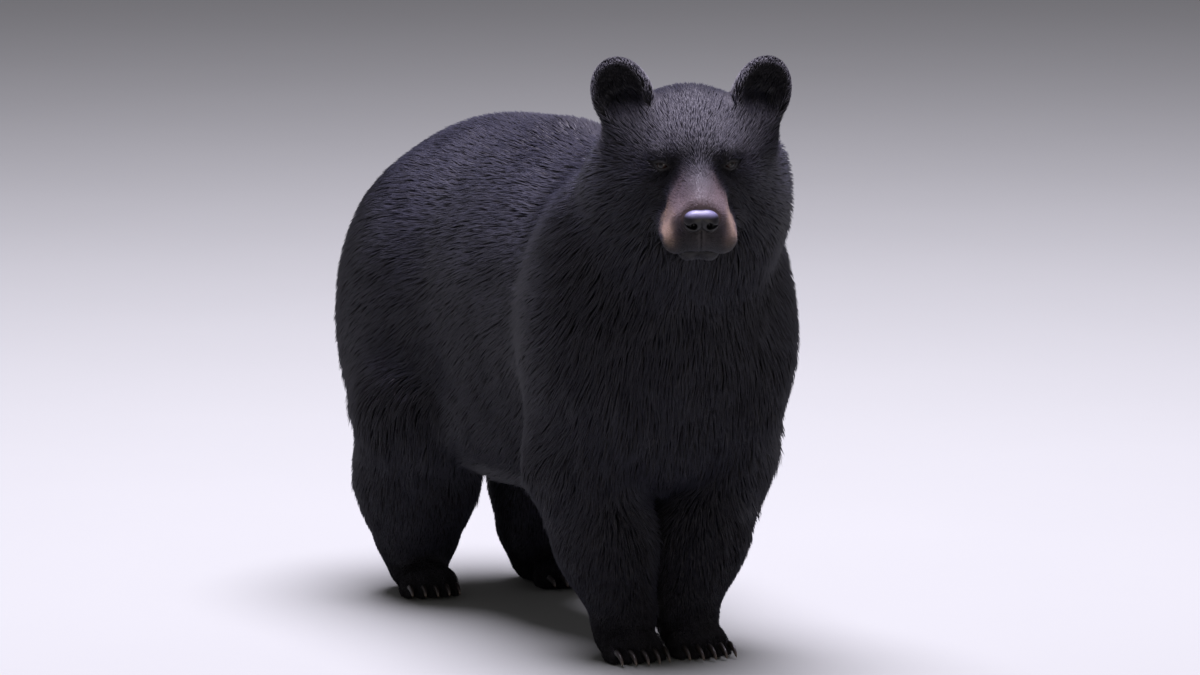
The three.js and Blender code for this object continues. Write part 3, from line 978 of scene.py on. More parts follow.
def nose_finish(colours):
    """Nose leather: hairless, pebbled in cells about a millimetre across, moist in front, and painted lighter
    on top as a painted highlight.
    """
    material, base, node, connect = shader("nose_leather")
    place = node("ShaderNodeTexCoord").outputs["Object"]
    hollow, dry = (
        node("ShaderNodeAttribute", {"attribute_name": name}).outputs["Fac"] for name in ("hollow", "dry")
    )
    mottle = node("ShaderNodeTexNoise", {"Scale": cells(8.33), "Detail": 4.0}, {"Vector": place})
    moist = node("ShaderNodeValToRGB", None, {"Fac": mottle.outputs["Fac"]})
    set_ramp(moist, (0.3, hex_colour("#080709")), (0.75, tuple(colours.nose)))
    # the top of the nose is painted lighter and lilac: a painted reflection of the overhead light
    leather = node(
        "ShaderNodeMix",
        {"data_type": "RGBA", 7: tuple(colours.nose_top_highlight)},
        {0: dry, 6: moist.outputs["Color"]},
    )
    # hardly any light comes back out of the nostrils
    connect(varied(node, leather.outputs[2], hollow, 1.0, 0.05), "Base Color")
    pebbles = node("ShaderNodeTexVoronoi", {"Scale": cells(1.25)}, {"Vector": place})
    fine = node("ShaderNodeTexNoise", {"Scale": cells(0.667), "Detail": 2.0}, {"Vector": place})
    height = node(
        "ShaderNodeMath",
        {"operation": "MULTIPLY_ADD", 1: 0.3},
        {0: fine.outputs["Fac"], 2: pebbles.outputs["Distance"]},
    )
    bump = node(
        "ShaderNodeBump",
        {"Strength": 0.45, "Distance": 0.3 * MM, "invert": True},
        {"Height": height.outputs[0]},
    )
    connect(bump.outputs["Normal"], "Normal")
    rough = node("ShaderNodeMapRange", {"To Min": 0.30, "To Max": 0.48}, {"Value": mottle.outputs["Fac"]})
    connect(rough.outputs["Result"], "Roughness")
    base.inputs["Specular IOR Level"].default_value = 0.35
    return material


def eye_finish(colours):
    """A taxidermist's glass eye: round pupil, dark brown iris with fine rays, clear wet cornea."""
    material, base, node, connect = shader("glass_eye")
    turn, rays = (
        node("ShaderNodeAttribute", {"attribute_name": name}).outputs["Fac"] for name in ("off_axis", "ray")
    )
    iris = tuple(colours.iris)
    rings = node("ShaderNodeValToRGB", None, {"Fac": turn})
    set_ramp(
        rings,
        (0.0, hex_colour("#030202")),  # pupil
        (0.12, hex_colour("#040303")),
        (0.14, iris),
        (0.25, tuple(c * 0.6 for c in iris[:3]) + (1.0,)),
        (0.29, hex_colour("#060404")),  # the iris's dark rim
        (0.40, hex_colour("#120c0a")),  # the white, which is brown in a bear
    )
    connect(varied(node, rings.outputs["Color"], rays, 0.75, 1.25), "Base Color")
    rough = node("ShaderNodeMapRange", {"To Min": 0.18, "To Max": 0.30}, {"Value": rays})
    connect(rough.outputs["Result"], "Roughness")
    base.inputs["IOR"].default_value = 1.45
    base.inputs["Specular IOR Level"].default_value = 0.1
    base.inputs["Coat Weight"].default_value = 0.7
    base.inputs["Coat Roughness"].default_value = 0.03
    base.inputs["Coat IOR"].default_value = 1.38
    return material


def claw_finish(colours):
    """Claw horn: dark keratin laid down in lengthwise fibres, worn paler and smoother at the point."""
    material, base, node, connect = shader("claw_horn")
    along, round_it = (
        node("ShaderNodeAttribute", {"attribute_name": name}).outputs["Fac"] for name in ("along", "turn")
    )
    where = node("ShaderNodeCombineXYZ", None, {"X": round_it, "Y": along})
    # fibres 0.5 mm apart round the claw, which run most of its length
    fibres = node(
        "ShaderNodeMapping", {"Scale": (26.0, 2.2, 1.0)}, {"Vector": where.outputs["Vector"]}
    )
    streaks = node("ShaderNodeTexNoise", {"Scale": 1.0, "Detail": 4.0}, {"Vector": fibres.outputs["Vector"]})
    worn = node("ShaderNodeValToRGB", None, {"Fac": along})
    set_ramp(worn, (0.0, hex_colour("#131010")), (0.7, tuple(colours.claw)), (1.0, hex_colour("#5b5045")))
    connect(varied(node, worn.outputs["Color"], streaks.outputs["Fac"], 0.7, 1.35), "Base Color")
    rough = node("ShaderNodeMapRange", {"To Min": 0.42, "To Max": 0.26}, {"Value": along})
    connect(rough.outputs["Result"], "Roughness")
    bump = node(
        "ShaderNodeBump", {"Strength": 0.35, "Distance": 0.3 * MM}, {"Height": streaks.outputs["Fac"]}
    )
    connect(bump.outputs["Normal"], "Normal")
    base.inputs["IOR"].default_value = 1.54
    return material


def floor_finish(colours):
    """A matt painted floor: even, with the faint cloudiness of rolled paint."""
    material, base, node, connect = shader("matt_floor_paint")
    place = node("ShaderNodeTexCoord").outputs["Object"]
    cloud = node("ShaderNodeTexNoise", {"Scale": cells(833), "Detail": 3.0}, {"Vector": place})
    paint = node("ShaderNodeMapRange", {"To Min": 0.98, "To Max": 1.02}, {"Value": cloud.outputs["Fac"]})
    clouded = node(
        "ShaderNodeHueSaturation",
        {"Color": tuple(colours.floor)},
        {"Value": paint.outputs["Result"]},
    )
    connect(clouded.outputs["Color"], "Base Color")
    base.inputs["Roughness"].default_value = 0.85
    base.inputs["Specular IOR Level"].default_value = 0.2
    return material


# ---- settings ----


class BearCoatSizes(bpy.types.PropertyGroup):
    """Size and spacing of the coat's locks."""

    fullness: FloatProperty(
        name="Fullness",
        description="Height of the tips as a share of the coat's depth",
        default=1.0,
        min=0.5,
        max=1.1,
        subtype="FACTOR",
    )
    body_spacing: FloatProperty(
        name="Spacing on the body",
        description="Distance between neighbouring locks where the coat is longest",
        default=0.0050,
        min=0.003,
        max=0.02,
        unit="LENGTH",
    )
    face_spacing: FloatProperty(
        name="Spacing on the face",
        description="Distance between neighbouring locks on the muzzle",
        default=0.0016,
        min=0.001,
        max=0.01,
        unit="LENGTH",
    )
    lock_width: FloatProperty(
        name="Lock width",
        description="Width of the widest locks at the root",
        default=0.0039,
        min=0.001,
        max=0.02,
        unit="LENGTH",
    )
    seed: IntProperty(name="Seed", description="Which arrangement of locks is grown", default=7, min=0)


class BearSkinSizes(bpy.types.PropertyGroup):
    """Fineness of the skin."""

    cell: FloatProperty(
        name="Skin grid",
        description="Size of the grid on which the skin is first worked out",
        default=0.003,
        min=0.002,
        max=0.01,
        unit="LENGTH",
    )
    body_share: FloatProperty(
        name="Body faces kept",
        description="Share of the skin's faces kept where the coat hides it",
        default=0.16,
        min=0.05,
        max=1.0,
        subtype="FACTOR",
    )


class BearColours(bpy.types.PropertyGroup):
    """Colours of the bear and the floor."""

    guard_hair: FloatVectorProperty(
        name="Guard hair",
        description="Outer half of the black coat",
        default=hex_colour("#141216"),
        size=4,
        subtype="COLOR",
    )
    # darker than the guard hair: on the coat it is painted shade at the locks' roots, on the skin one end of
    # a random mottle
    under_coat: FloatVectorProperty(
        name="Under coat",
        description="Hair near the skin",
        default=hex_colour("#0b090a"),
        size=4,
        subtype="COLOR",
    )
    muzzle: FloatVectorProperty(
        name="Muzzle",
        description="Short hair of the muzzle",
        default=hex_colour("#483a39"),
        size=4,
        subtype="COLOR",
    )
    lips: FloatVectorProperty(
        name="Lips",
        description="Palest hair, along the lips",
        default=hex_colour("#85705f"),
        size=4,
        subtype="COLOR",
    )
    bare_skin: FloatVectorProperty(
        name="Bare skin",
        description="Lids, lips' edge and soles",
        default=hex_colour("#0d0b0c"),
        size=4,
        subtype="COLOR",
    )
    nose: FloatVectorProperty(
        name="Nose",
        description="Moist leather of the nose",
        default=hex_colour("#0f0d10"),
        size=4,
        subtype="COLOR",
    )
    # painted highlight: the overhead light's reflection on the top of the nose, painted into its colour
    nose_top_highlight: FloatVectorProperty(
        name="Nose's top",
        description="Dry leather on top of the nose",
        default=hex_colour("#605e78"),
        size=4,
        subtype="COLOR",
    )
    iris: FloatVectorProperty(
        name="Iris",
        description="Iris of the eye",
        default=hex_colour("#20120b"),
        size=4,
        subtype="COLOR",
    )
    claw: FloatVectorProperty(
        name="Claws",
        description="Horn of the claws",
        default=hex_colour("#2b2520"),
        size=4,
        subtype="COLOR",
    )
    floor: FloatVectorProperty(
        name="Floor",
        description="Floor paint",
        default=hex_colour("#878a83"),
        size=4,
        subtype="COLOR",
    )


class BearStageSizes(bpy.types.PropertyGroup):
    """Camera and lights."""

    distance: FloatProperty(
        name="Camera distance",
        description="Camera to the bear",
        default=13.0,
        min=2.0,
        unit="LENGTH",
    )
    azimuth: FloatProperty(
        name="Azimuth",
        description="Camera round the bear from straight ahead",
        default=math.radians(-24),
        subtype="ANGLE",
    )
    elevation: FloatProperty(
        name="Elevation",
        description="Camera above the bear",
        default=math.radians(8),
        subtype="ANGLE",
    )
    view_width: FloatProperty(
        name="View width",
        description="Width that the camera takes in at the bear",
        default=2.0,
        min=0.1,
        unit="LENGTH",
    )
    key_power: FloatProperty(
        name="Overhead light", description="Power in watts of the light overhead", default=2650.0, min=0
    )
    fill_power: FloatProperty(
        name="Front light", description="Power in watts of the weak light in front", default=34.0, min=0
    )


# ---- the skin ----


class BEAR_OT_skin(bpy.types.Operator):
    """Makes the bear's skin as one piece, inside the solids by the coat's depth"""

    bl_idname = "bear.skin"
    bl_label = "Skin"

    def execute(self, context):
        sizes, colours = context.scene.bear_skin, context.scene.bear_colours
        low, high = (np.array(corner) / MM for corner in CAD_BOX)
        points, quads = surface(skin_distance, low - 6, high + 6, sizes.cell / MM)
        mesh = mesh_of("bear_skin", points, quads)
        skin = placed("bear_skin", mesh, skin_finish(colours))
        self.thin_body(skin, points, sizes.body_share)
        self.refine_face(skin)
        points = settled(skin_distance, points_of(skin.data), rounds=2, most=2)
        points[:, 2] = np.maximum(points[:, 2], 0)
        put_points(skin.data, points)
        for key, share in (("brown", brown_share), ("tan", tan_share), ("bare", bare_share)):
            write_numbers(skin.data, key, share(points))
        # the shade carries the coat's painted sheen on the brow and back, painted shade on the crown and
        # painted shadow round the eyes, the same on the skin
        write_numbers(skin.data, "shade", np.clip(0.5 + painted_light_and_tone(points), 0, 1))
        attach(skin, "root")
        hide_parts(*FLESH)
        return {"FINISHED"}

    @staticmethod
    def thin_body(skin, points, share):
        """Fewer, larger faces where the coat is deep; the face, ears and feet keep theirs."""
        q = to_head(points)
        head = (1 - ease(q[:, 1], 40, 80)) * (np.linalg.norm(q, axis=1) < 200)
        ears = sum((np.linalg.norm(to_ear(q, side), axis=1) < 72).astype(float) for side in SIDES)
        feet = 1 - ease(points[:, 2], 70, 110)
        keep = np.clip(head + ears + feet, 0, 1)
        group = skin.vertex_groups.new(name="thin")
        for level in range(1, 11):
            chosen = np.nonzero(np.round((1 - keep) * 10) == level)[0]
            if len(chosen):
                group.add(chosen.tolist(), level / 10, "REPLACE")
        thin = skin.modifiers.new("thin", "DECIMATE")
        thin.ratio = share
        thin.vertex_group = "thin"
        thin.vertex_group_factor = 4.0
        apply_modifiers(skin)

    @staticmethod
    def refine_face(skin):
        """Smaller faces round the eyes and along the mouth, for the lids and lips."""
        for reach, with_lips in ((26, True), (17, False)):
            mesh = skin.data
            edit = bmesh.new()
            edit.from_mesh(mesh)
            middles = np.array([e.verts[0].co + e.verts[1].co for e in edit.edges]) / 2 / MM
            q = to_head(middles)
            near = np.zeros(len(q), bool)
            for centre in EYE_CENTRES.values():
                near |= np.linalg.norm(q - centre, axis=1) < reach
            if with_lips:
                near |= (np.abs(parting(q)) < 9) & (q[:, 1] < 10) & (q[:, 2] < -60)
            edges = [e for e, chosen in zip(edit.edges, near) if chosen]
            bmesh.ops.subdivide_edges(edit, edges=edges, cuts=1, use_grid_fill=True)
            bmesh.ops.triangulate(edit, faces=[f for f in edit.faces if len(f.verts) > 3])
            edit.to_mesh(mesh)
            edit.free()
            points = points_of(mesh)
            face = np.linalg.norm(to_head(points), axis=1) < 150
            points[face] = settled(skin_distance, points[face], rounds=3, most=3)
            put_points(mesh, points)


def apply_modifiers(piece):
    """The piece's mesh with its modifiers worked in."""
    graph = bpy.context.evaluated_depsgraph_get()
    made = bpy.data.meshes.new_from_object(piece.evaluated_get(graph))
    old = piece.data
    piece.modifiers.clear()
    piece.data = made
    made.name = old.name
    bpy.data.meshes.remove(old)


def bare_share(p):
    """1 on bare skin: the lids' edges, inside the mouth's line, and the soles."""
    q = to_head(p)
    bare = np.zeros(len(p))
    for side in SIDES:
        away, edge, _, ahead = lids(q, side)
        bare = np.maximum(bare, (away < 18) * (ahead > 0) * (1 - ease(edge, 1.2, 2.4)))
    mouth = (np.abs(parting(q)) < 2.5) & (q[:, 1] < 5) & (q[:, 2] < -60) & (np.linalg.norm(q, axis=1) < 170)
    bare = np.maximum(bare, mouth)
    return np.maximum(bare, 1 - ease(p[:, 2], 2.5, 6))


# ---- the coat ----


def spread_roots(points, triangles, spacing_at, seed):
    """Root places on a surface, about as far apart as spacing_at says."""
    dice = np.random.default_rng(seed)
    a, b, c = (points[triangles[:, i]] for i in range(3))
    area = np.linalg.norm(np.cross(b - a, c - a), axis=1) / 2
    spacing = spacing_at((a + b + c) / 3)
    wanted = area / spacing**2 * 3.2  # more than are kept: one is, in each cell of the size of the spacing
    count = np.floor(wanted + dice.random(len(wanted))).astype(int)
    face = np.repeat(np.arange(len(triangles)), count)
    u, v = dice.random(len(face)), dice.random(len(face))
    over = u + v > 1
    u[over], v[over] = 1 - u[over], 1 - v[over]
    spots = a[face] + u[:, None] * (b - a)[face] + v[:, None] * (c - a)[face]
    gap = spacing[face]
    kept = []
    for low in np.unique(np.floor(np.log2(gap) * 4)):
        chosen = np.nonzero(np.floor(np.log2(gap) * 4) == low)[0]
        cell = np.floor(spots[chosen] / 2 ** ((low + 0.5) / 4)).astype(np.int64)
        key = (cell[:, 0] * 1_000_003 + cell[:, 1]) * 1_000_003 + cell[:, 2]
        kept.append(chosen[np.unique(key, return_index=True)[1]])
    return spots[np.sort(np.concatenate(kept))]


class BEAR_OT_coat(bpy.types.Operator):
    """Grows the coat as solid locks that lie along the body, region by region"""

    bl_idname = "bear.coat"
    bl_label = "Coat"

    def execute(self, context):
        sizes, colours = context.scene.bear_coat, context.scene.bear_colours
        mesh = bpy.data.objects["bear_skin"].data
        locks = grow_locks(points_of(mesh), triangles_of(mesh), sizes)
        finish = coat_finish(colours)
        for name, chosen in coat_regions(locks).items():
            piece = placed(f"coat_{name}", lock_mesh(f"coat_{name}", locks, chosen), finish)
            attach(piece, "root")
        return {"FINISHED"}


BEND = 0.46  # share of a lock's length from its root to its bend
BEND_RISE = 0.56  # height of the bend, as a share of the tip's


def grow_locks(points, triangles, sizes):
    """Every lock's root, middle and tip, with its width, shade and markings."""
    body, face = sizes.body_spacing / MM, sizes.face_spacing / MM

    def spacing(p):
        length = blended(coat_shares(p), p, "length")
        return np.interp(length, (4, 9, 14, 28, 50), (face, 2.1, 2.8, 4.3, body)) * fineness(p)

    roots = spread_roots(points, triangles, spacing, sizes.seed)
    roots = roots[(bare_share(roots) <= 0.4) & (NOSE(to_head(roots)) >= 2.0)]
    dice = np.random.default_rng(sizes.seed + 1)
    count = len(roots)
    shares = coat_shares(roots)
    normal = slope(skin_distance, roots, 1.2)
    # the lie of the coat, turned a little in broad and in narrow swells and by each lock's own chance
    lie = along_skin(blended(shares, roots, "lie"), normal)
    angle = 0.16 * wander(roots, 70, 11) + 0.14 * wander(roots, 21, 12) + dice.normal(0, 0.08, count)
    lie = unit(lie * np.cos(angle)[:, None] + np.cross(normal, lie) * np.sin(angle)[:, None])
    # length and height; ragged tufts are longer and stand out more, on the legs and low on the breast
    length = blended(shares, roots, "length")
    length = length * (1 + 0.10 * wander(roots, 40, 13) + dice.uniform(-0.18, 0.18, count))
    uneven = 1 + 0.05 * wander(roots, 34, 14) + dice.normal(0, 0.04, count)
    ragged = ease(wander(roots, 24, 17), 0.2, 0.7) * ease(length, 24, 40) * ease(-roots[:, 2], -640, -420)
    length = length * (1 + 0.3 * ragged)
    depth = blended(shares, roots, "depth")
    rise = depth * sizes.fullness * (np.clip(uneven, 0.7, 1.15) + 0.32 * ragged)
    # each lock leaves its root along the lie, bends once and ends at its height above the skin
    middle = lifted(roots + lie * (BEND * length)[:, None], BEND_RISE * rise)
    ahead = along_skin(unit(middle - roots), normal)
    tip = lifted(middle + ahead * ((1 - BEND) * length)[:, None], rise)
    width = np.interp(length, (4, 10, 28, 50), (1.0, 1.9, 3.2, sizes.lock_width / MM)) * fineness(roots)
    width *= dice.uniform(0.75, 1.25, count)
    # none reaches the floor
    tip[:, 2] = np.maximum(tip[:, 2], 0.6)
    middle[:, 2] = np.maximum(middle[:, 2], 0.8)
    locks = {
        "root": roots - normal * np.minimum(1.0, 0.12 * length)[:, None],
        "middle": middle,
        "tip": tip,
        "normal": normal,
        "width": width,
        "length": length,
        # shade: random tone, plus painted sheen on the brow and back, painted shade on the crown and painted
        # shadow round the eyes
        "shade": np.clip(0.5 + painted_light_and_tone(roots) + 0.2 * wander(roots, 12, 15) + dice.normal(0, 0.13, count), 0, 1),
        "brown": brown_share(roots),
        "tan": tan_share(roots),
        "shares": shares,
    }
    # a lock that was lifted out of a fold and stretched is left out
    sound = np.linalg.norm(tip - roots, axis=1) < 1.12 * length + 2
    return {key: values[sound] for key, values in locks.items()}


def along_skin(v, normal):
    """The directions laid flat on the skin."""
    return unit(v - np.sum(v * normal, 1, keepdims=True) * normal)


def fineness(p):
    """Size of the locks next to the rest of the coat's: finer on the front of the head."""
    return mixed(0.82, 1, ease(np.linalg.norm(to_head(p) - [0, 40, 20], axis=1), 100, 150))


def lifted(p, height):
    """Points moved straight out from the skin, or in to it, until they are this high above it."""
    for _ in range(2):
        off = np.clip(height - skin_distance(p), -25, 25)
        p = p + off[:, None] * slope(skin_distance, p, 1.5)
    return p


FLANK = (-150, 190)  # where the pieces of the trunk's coat begin and end


def coat_regions(locks):
    """The locks of each piece of the coat. The tail's few locks go with the rump's."""
    owner = np.array(list(PARTS))[locks["shares"].argmax(1)]
    x, y = locks["root"][:, 0], locks["root"][:, 1] - SHIFT
    q = to_head(locks["root"])
    region = np.full(len(owner), "neck", object)
    region[owner == "tail"] = "rump_left"
    for side, sign in SIDES.items():
        here = (x > 0) == (sign > 0)
        trunk = (owner == "trunk") & here
        region[trunk & (y < FLANK[0])] = f"shoulder_{side}"
        region[trunk & (y >= FLANK[0]) & (y < FLANK[1])] = f"flank_{side}"
        region[trunk & (y >= FLANK[1])] = f"rump_{side}"
        region[(owner == "neck") & here] = f"neck_{side}"
        for part in ("foreleg", "hindleg", "forepaw", "hindpaw", "ear"):
            region[owner == f"{part}_{side}"] = f"{part}_{side}"
    head = owner == "head"
    region[head] = np.where(
        q[head, 1] < -10, "muzzle", np.where(q[head, 0] > 0, "face_left", "face_right")
    )
    return {name: np.nonzero(region == name)[0] for name in sorted(set(region))}


# corners of a lock: three at the root, three at the middle where it bends, one at the tip
BENT = {
    "faces": [
        (0, 1, 4), (0, 4, 3), (1, 2, 5), (1, 5, 4), (2, 0, 3), (2, 3, 5),
        (3, 4, 6), (4, 5, 6), (5, 3, 6), (0, 2, 1),
    ],
    "along": (0, 0, 0, BEND, BEND, BEND, 1),
    "patch": ((0, 0), (1, 0), (0.5, 0.1), (0, BEND), (1, BEND), (0.5, 0.5), (0.5, 1)),
}
STRAIGHT = {
    "faces": [(0, 1, 3), (1, 2, 3), (2, 0, 3), (0, 2, 1)],
    "along": (0, 0, 0, 1),
    "patch": ((0, 0), (1, 0), (0.5, 0.1), (0.5, 1)),
}
SHORT = 11.0  # a lock shorter than this is straight
PATCH = 0.003  # of the unwrap's width, for one lock


def lock_mesh(name, locks, chosen):
    """Closed three-sided locks, each a ring at the root, one where it bends if it is long, and a point."""
    bent = locks["length"][chosen] > SHORT
    points, faces, along, spots, owner = [], [], [], [], []
    flat = unwrapped(locks["root"][chosen], locks["normal"][chosen])
    start = 0
    for kind, own in ((BENT, np.nonzero(bent)[0]), (STRAIGHT, np.nonzero(~bent)[0])):
        corners = lock_corners(locks, chosen[own], kind is BENT)
        size = len(kind["along"])
        points.append(corners.reshape(-1, 3))
        steps = start + np.arange(len(own))[:, None, None] * size
        faces.append((steps + np.array(kind["faces"])[None]).reshape(-1, 3))
        along.append(np.tile(kind["along"], len(own)))
        patch = (np.array(kind["patch"]) - 0.5) * PATCH
        spots.append((flat[own][:, None] + patch[None]).reshape(-1, 2))
        owner.append(np.repeat(chosen[own], size))
        start += len(own) * size
    faces, owner = np.concatenate(faces), np.concatenate(owner)
    mesh = mesh_of(name, np.concatenate(points), faces)
    write_numbers(mesh, "along", np.concatenate(along))
    for key in ("shade", "brown", "tan"):
        write_numbers(mesh, key, locks[key][owner])
    layer = mesh.uv_layers.new(name="OFBake")
    uv = np.clip(np.concatenate(spots)[faces.ravel()], 0, 1)
    layer.data.foreach_set("uv", uv.astype(np.float32).ravel())
    return mesh


RIDGE = 0.42  # height of a lock's ridge, as a share of its width


def lock_corners(locks, chosen, bent):
    """Each lock's corners in the order that BENT and STRAIGHT give."""
    root, middle, tip, normal = (locks[key][chosen] for key in ("root", "middle", "tip", "normal"))
    width = locks["width"][chosen][:, None]
    first = unit(np.cross(unit(middle - root), normal))
    ring = [root - first * width / 2, root + first * width / 2, root + normal * width * RIDGE]
    if bent:
        second = unit(np.cross(unit(tip - middle), normal))
        ring += [
            middle - second * width * 0.46,
            middle + second * width * 0.46,
            middle + normal * width * RIDGE,
        ]
    return np.stack([*ring, tip], 1)


def unwrapped(root, normal):
    """Each lock's place on the skin under the piece, laid out side by side as six sides seen square on."""
    axis = np.abs(normal).argmax(1)
    chart = axis * 2 + (normal[np.arange(len(root)), axis] > 0)
    flat = np.zeros((len(root), 2))
    boxes = []
    for number in range(6):
        own = chart == number
        if not own.any():
            continue
        place = root[own][:, [i for i in range(3) if i != number // 2]]
        low = place.min(0)
        boxes.append((number, place.max(0) - low + 6))
        flat[own] = place - low + 3
    corners, scale = packed(boxes)
    for number, corner in corners.items():
        own = chart == number
        flat[own] = (flat[own] + corner) * scale
    return flat


def packed(boxes):
    """Places boxes in rows inside a unit square: each one's corner, and the scale that makes them all fit."""
    boxes = sorted(boxes, key=lambda box: -box[1][1])
    area = sum(size[0] * size[1] for _, size in boxes)
    side = math.sqrt(area)
    while True:
        corners, x, y, row = {}, 0.0, 0.0, 0.0
        for number, size in boxes:
            if x + size[0] > side:
                x, y, row = 0.0, y + row, 0.0
            corners[number] = np.array([x, y])
            x += size[0]
            row = max(row, size[1])
        widest = max(size[0] for _, size in boxes)
        if y + row <= side and widest <= side:
            return corners, 1 / side
        side *= 1.03


# ---- nose, eyes and claws ----


def nose_distance(q):
    """The nose with its comma nostrils, the groove between them and the rounded wings."""
    d = NOSE(q)
    for sign in SIDES.values():
        hole = ball((sign * 12.5, -5 - MUZZLE, -60), (5.2, 11, 5.4))(q)
        slit = limb((sign * 15, -6 - MUZZLE, -62), (sign * 27, 8 - MUZZLE, -58), 3.0, 1.3)(q)
        d = smooth_max(d, -smooth_min(hole, slit, 4), 2.5)
    groove = hump(q[:, 0], 1.3) * ease(-q[:, 2], 46, 56) * ease(-q[:, 1], 112, 118)
    dent = hump(q[:, 0], 6) * hump(q[:, 2] + 40, 8)
    return (d + 1.6 * groove + 0.8 * dent).astype(np.float32)


class BEAR_OT_nose(bpy.types.Operator):
    """Makes the nose as a leathery pad with two nostrils"""

    bl_idname = "bear.nose"
    bl_label = "Nose"

    def execute(self, context):
        middle = np.array([0, 10 - MUZZLE, -56])
        reach = np.array([32, 22, 26])
        points, quads = surface(nose_distance, middle - reach, middle + reach, 1.1)
        points = settled(nose_distance, points, rounds=2, most=1)
        hollow = ease(NOSE(points.astype(np.float32)), -5, -1.2)
        mesh = mesh_of("nose_pad", HEAD_ORIGIN + points @ HEAD_TURN.T, quads)
        write_numbers(mesh, "hollow", 1 - hollow)
        # where the painted highlight on top of the nose lies
        write_numbers(mesh, "dry", ease(points[:, 2] + 0.1 * points[:, 1], -61, -52))
        nose = placed("nose_pad", mesh, nose_finish(context.scene.bear_colours))
        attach(nose, "root")
        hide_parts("nose")
        return {"FINISHED"}


class BEAR_OT_eyes(bpy.types.Operator):
    """Makes the two glass eyes, each with a bulging cornea"""

    bl_idname = "bear.eyes"
    bl_label = "Eyes"

    def execute(self, context):
        finish = eye_finish(context.scene.bear_colours)
        rings, spokes = 36, 48
        for side in SIDES:
            gaze = Vector(HEAD_TURN @ EYE_GAZE[side])
            turn = np.array(gaze.to_track_quat("Z", "Y").to_matrix())
            tilt = np.linspace(0, np.pi, rings + 1)
            cornea = 1 + 0.075 * hump(tilt, 0.5)
            spin = np.linspace(0, 2 * np.pi, spokes, endpoint=False)
            t, s = np.meshgrid(tilt[1:-1], spin, indexing="ij")
            grid = np.stack([np.sin(t) * np.cos(s), np.sin(t) * np.sin(s), np.cos(t)], -1)
            grid = (grid * cornea[1:-1, None, None]).reshape(-1, 3)
            poles = np.array([[0, 0, cornea[0]], [0, 0, -1]])
            local = np.concatenate([grid, poles]) * EYE_RADIUS
            world = middle_of(f"eye_{side}") + local @ turn.T
            mesh = mesh_of(f"glass_eye_{side}", world, ball_faces(rings, spokes))
            write_numbers(mesh, "off_axis", np.concatenate([t.ravel(), [0, np.pi]]) / np.pi)
            rays = 0.5 + 0.3 * np.sin(s * 9) * np.sin(s * 14 + 1) + 0.2 * np.sin(s * 23 + 2)
            write_numbers(mesh, "ray", np.concatenate([np.clip(rays, 0, 1).ravel(), [0.5, 0.5]]))
            eye = placed(f"glass_eye_{side}", mesh, finish)
            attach(eye, "root")
            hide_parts(f"eye_{side}")
        return {"FINISHED"}


def ball_faces(rings, spokes):
    """Triangles of a ball whose grid rows come first and its two poles last."""
    i, j = np.meshgrid(np.arange(rings - 2), np.arange(spokes), indexing="ij")
    a, b = i * spokes + j, i * spokes + (j + 1) % spokes
    c, d = a + spokes, b + spokes
    body = np.concatenate([np.stack([a, c, d], -1).reshape(-1, 3), np.stack([a, d, b], -1).reshape(-1, 3)])
    top, bottom = (rings - 1) * spokes, (rings - 1) * spokes + 1
    k = np.arange(spokes)
    n = (k + 1) % spokes
    last = (rings - 2) * spokes
    caps = [np.stack([top + 0 * k, k, n], 1), np.stack([bottom + 0 * k, last + n, last + k], 1)]
    return np.concatenate([body, *caps])


class BEAR_OT_claws(bpy.types.Operator):
    """Makes the twenty claws, curved and tapering"""

    bl_idname = "bear.claws"
    bl_label = "Claws"

    def execute(self, context):
        finish = claw_finish(context.scene.bear_colours)
        for foot, paw in PAWS.items():
            for i in TOES:
                mesh = claw_mesh(f"horn_claw_{foot}_{i + 3}", paw, i)
                claw = placed(mesh.name, mesh, finish)
                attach(claw, "root")
                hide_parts(f"claw_{foot}_{i + 3}")
        return {"FINISHED"}


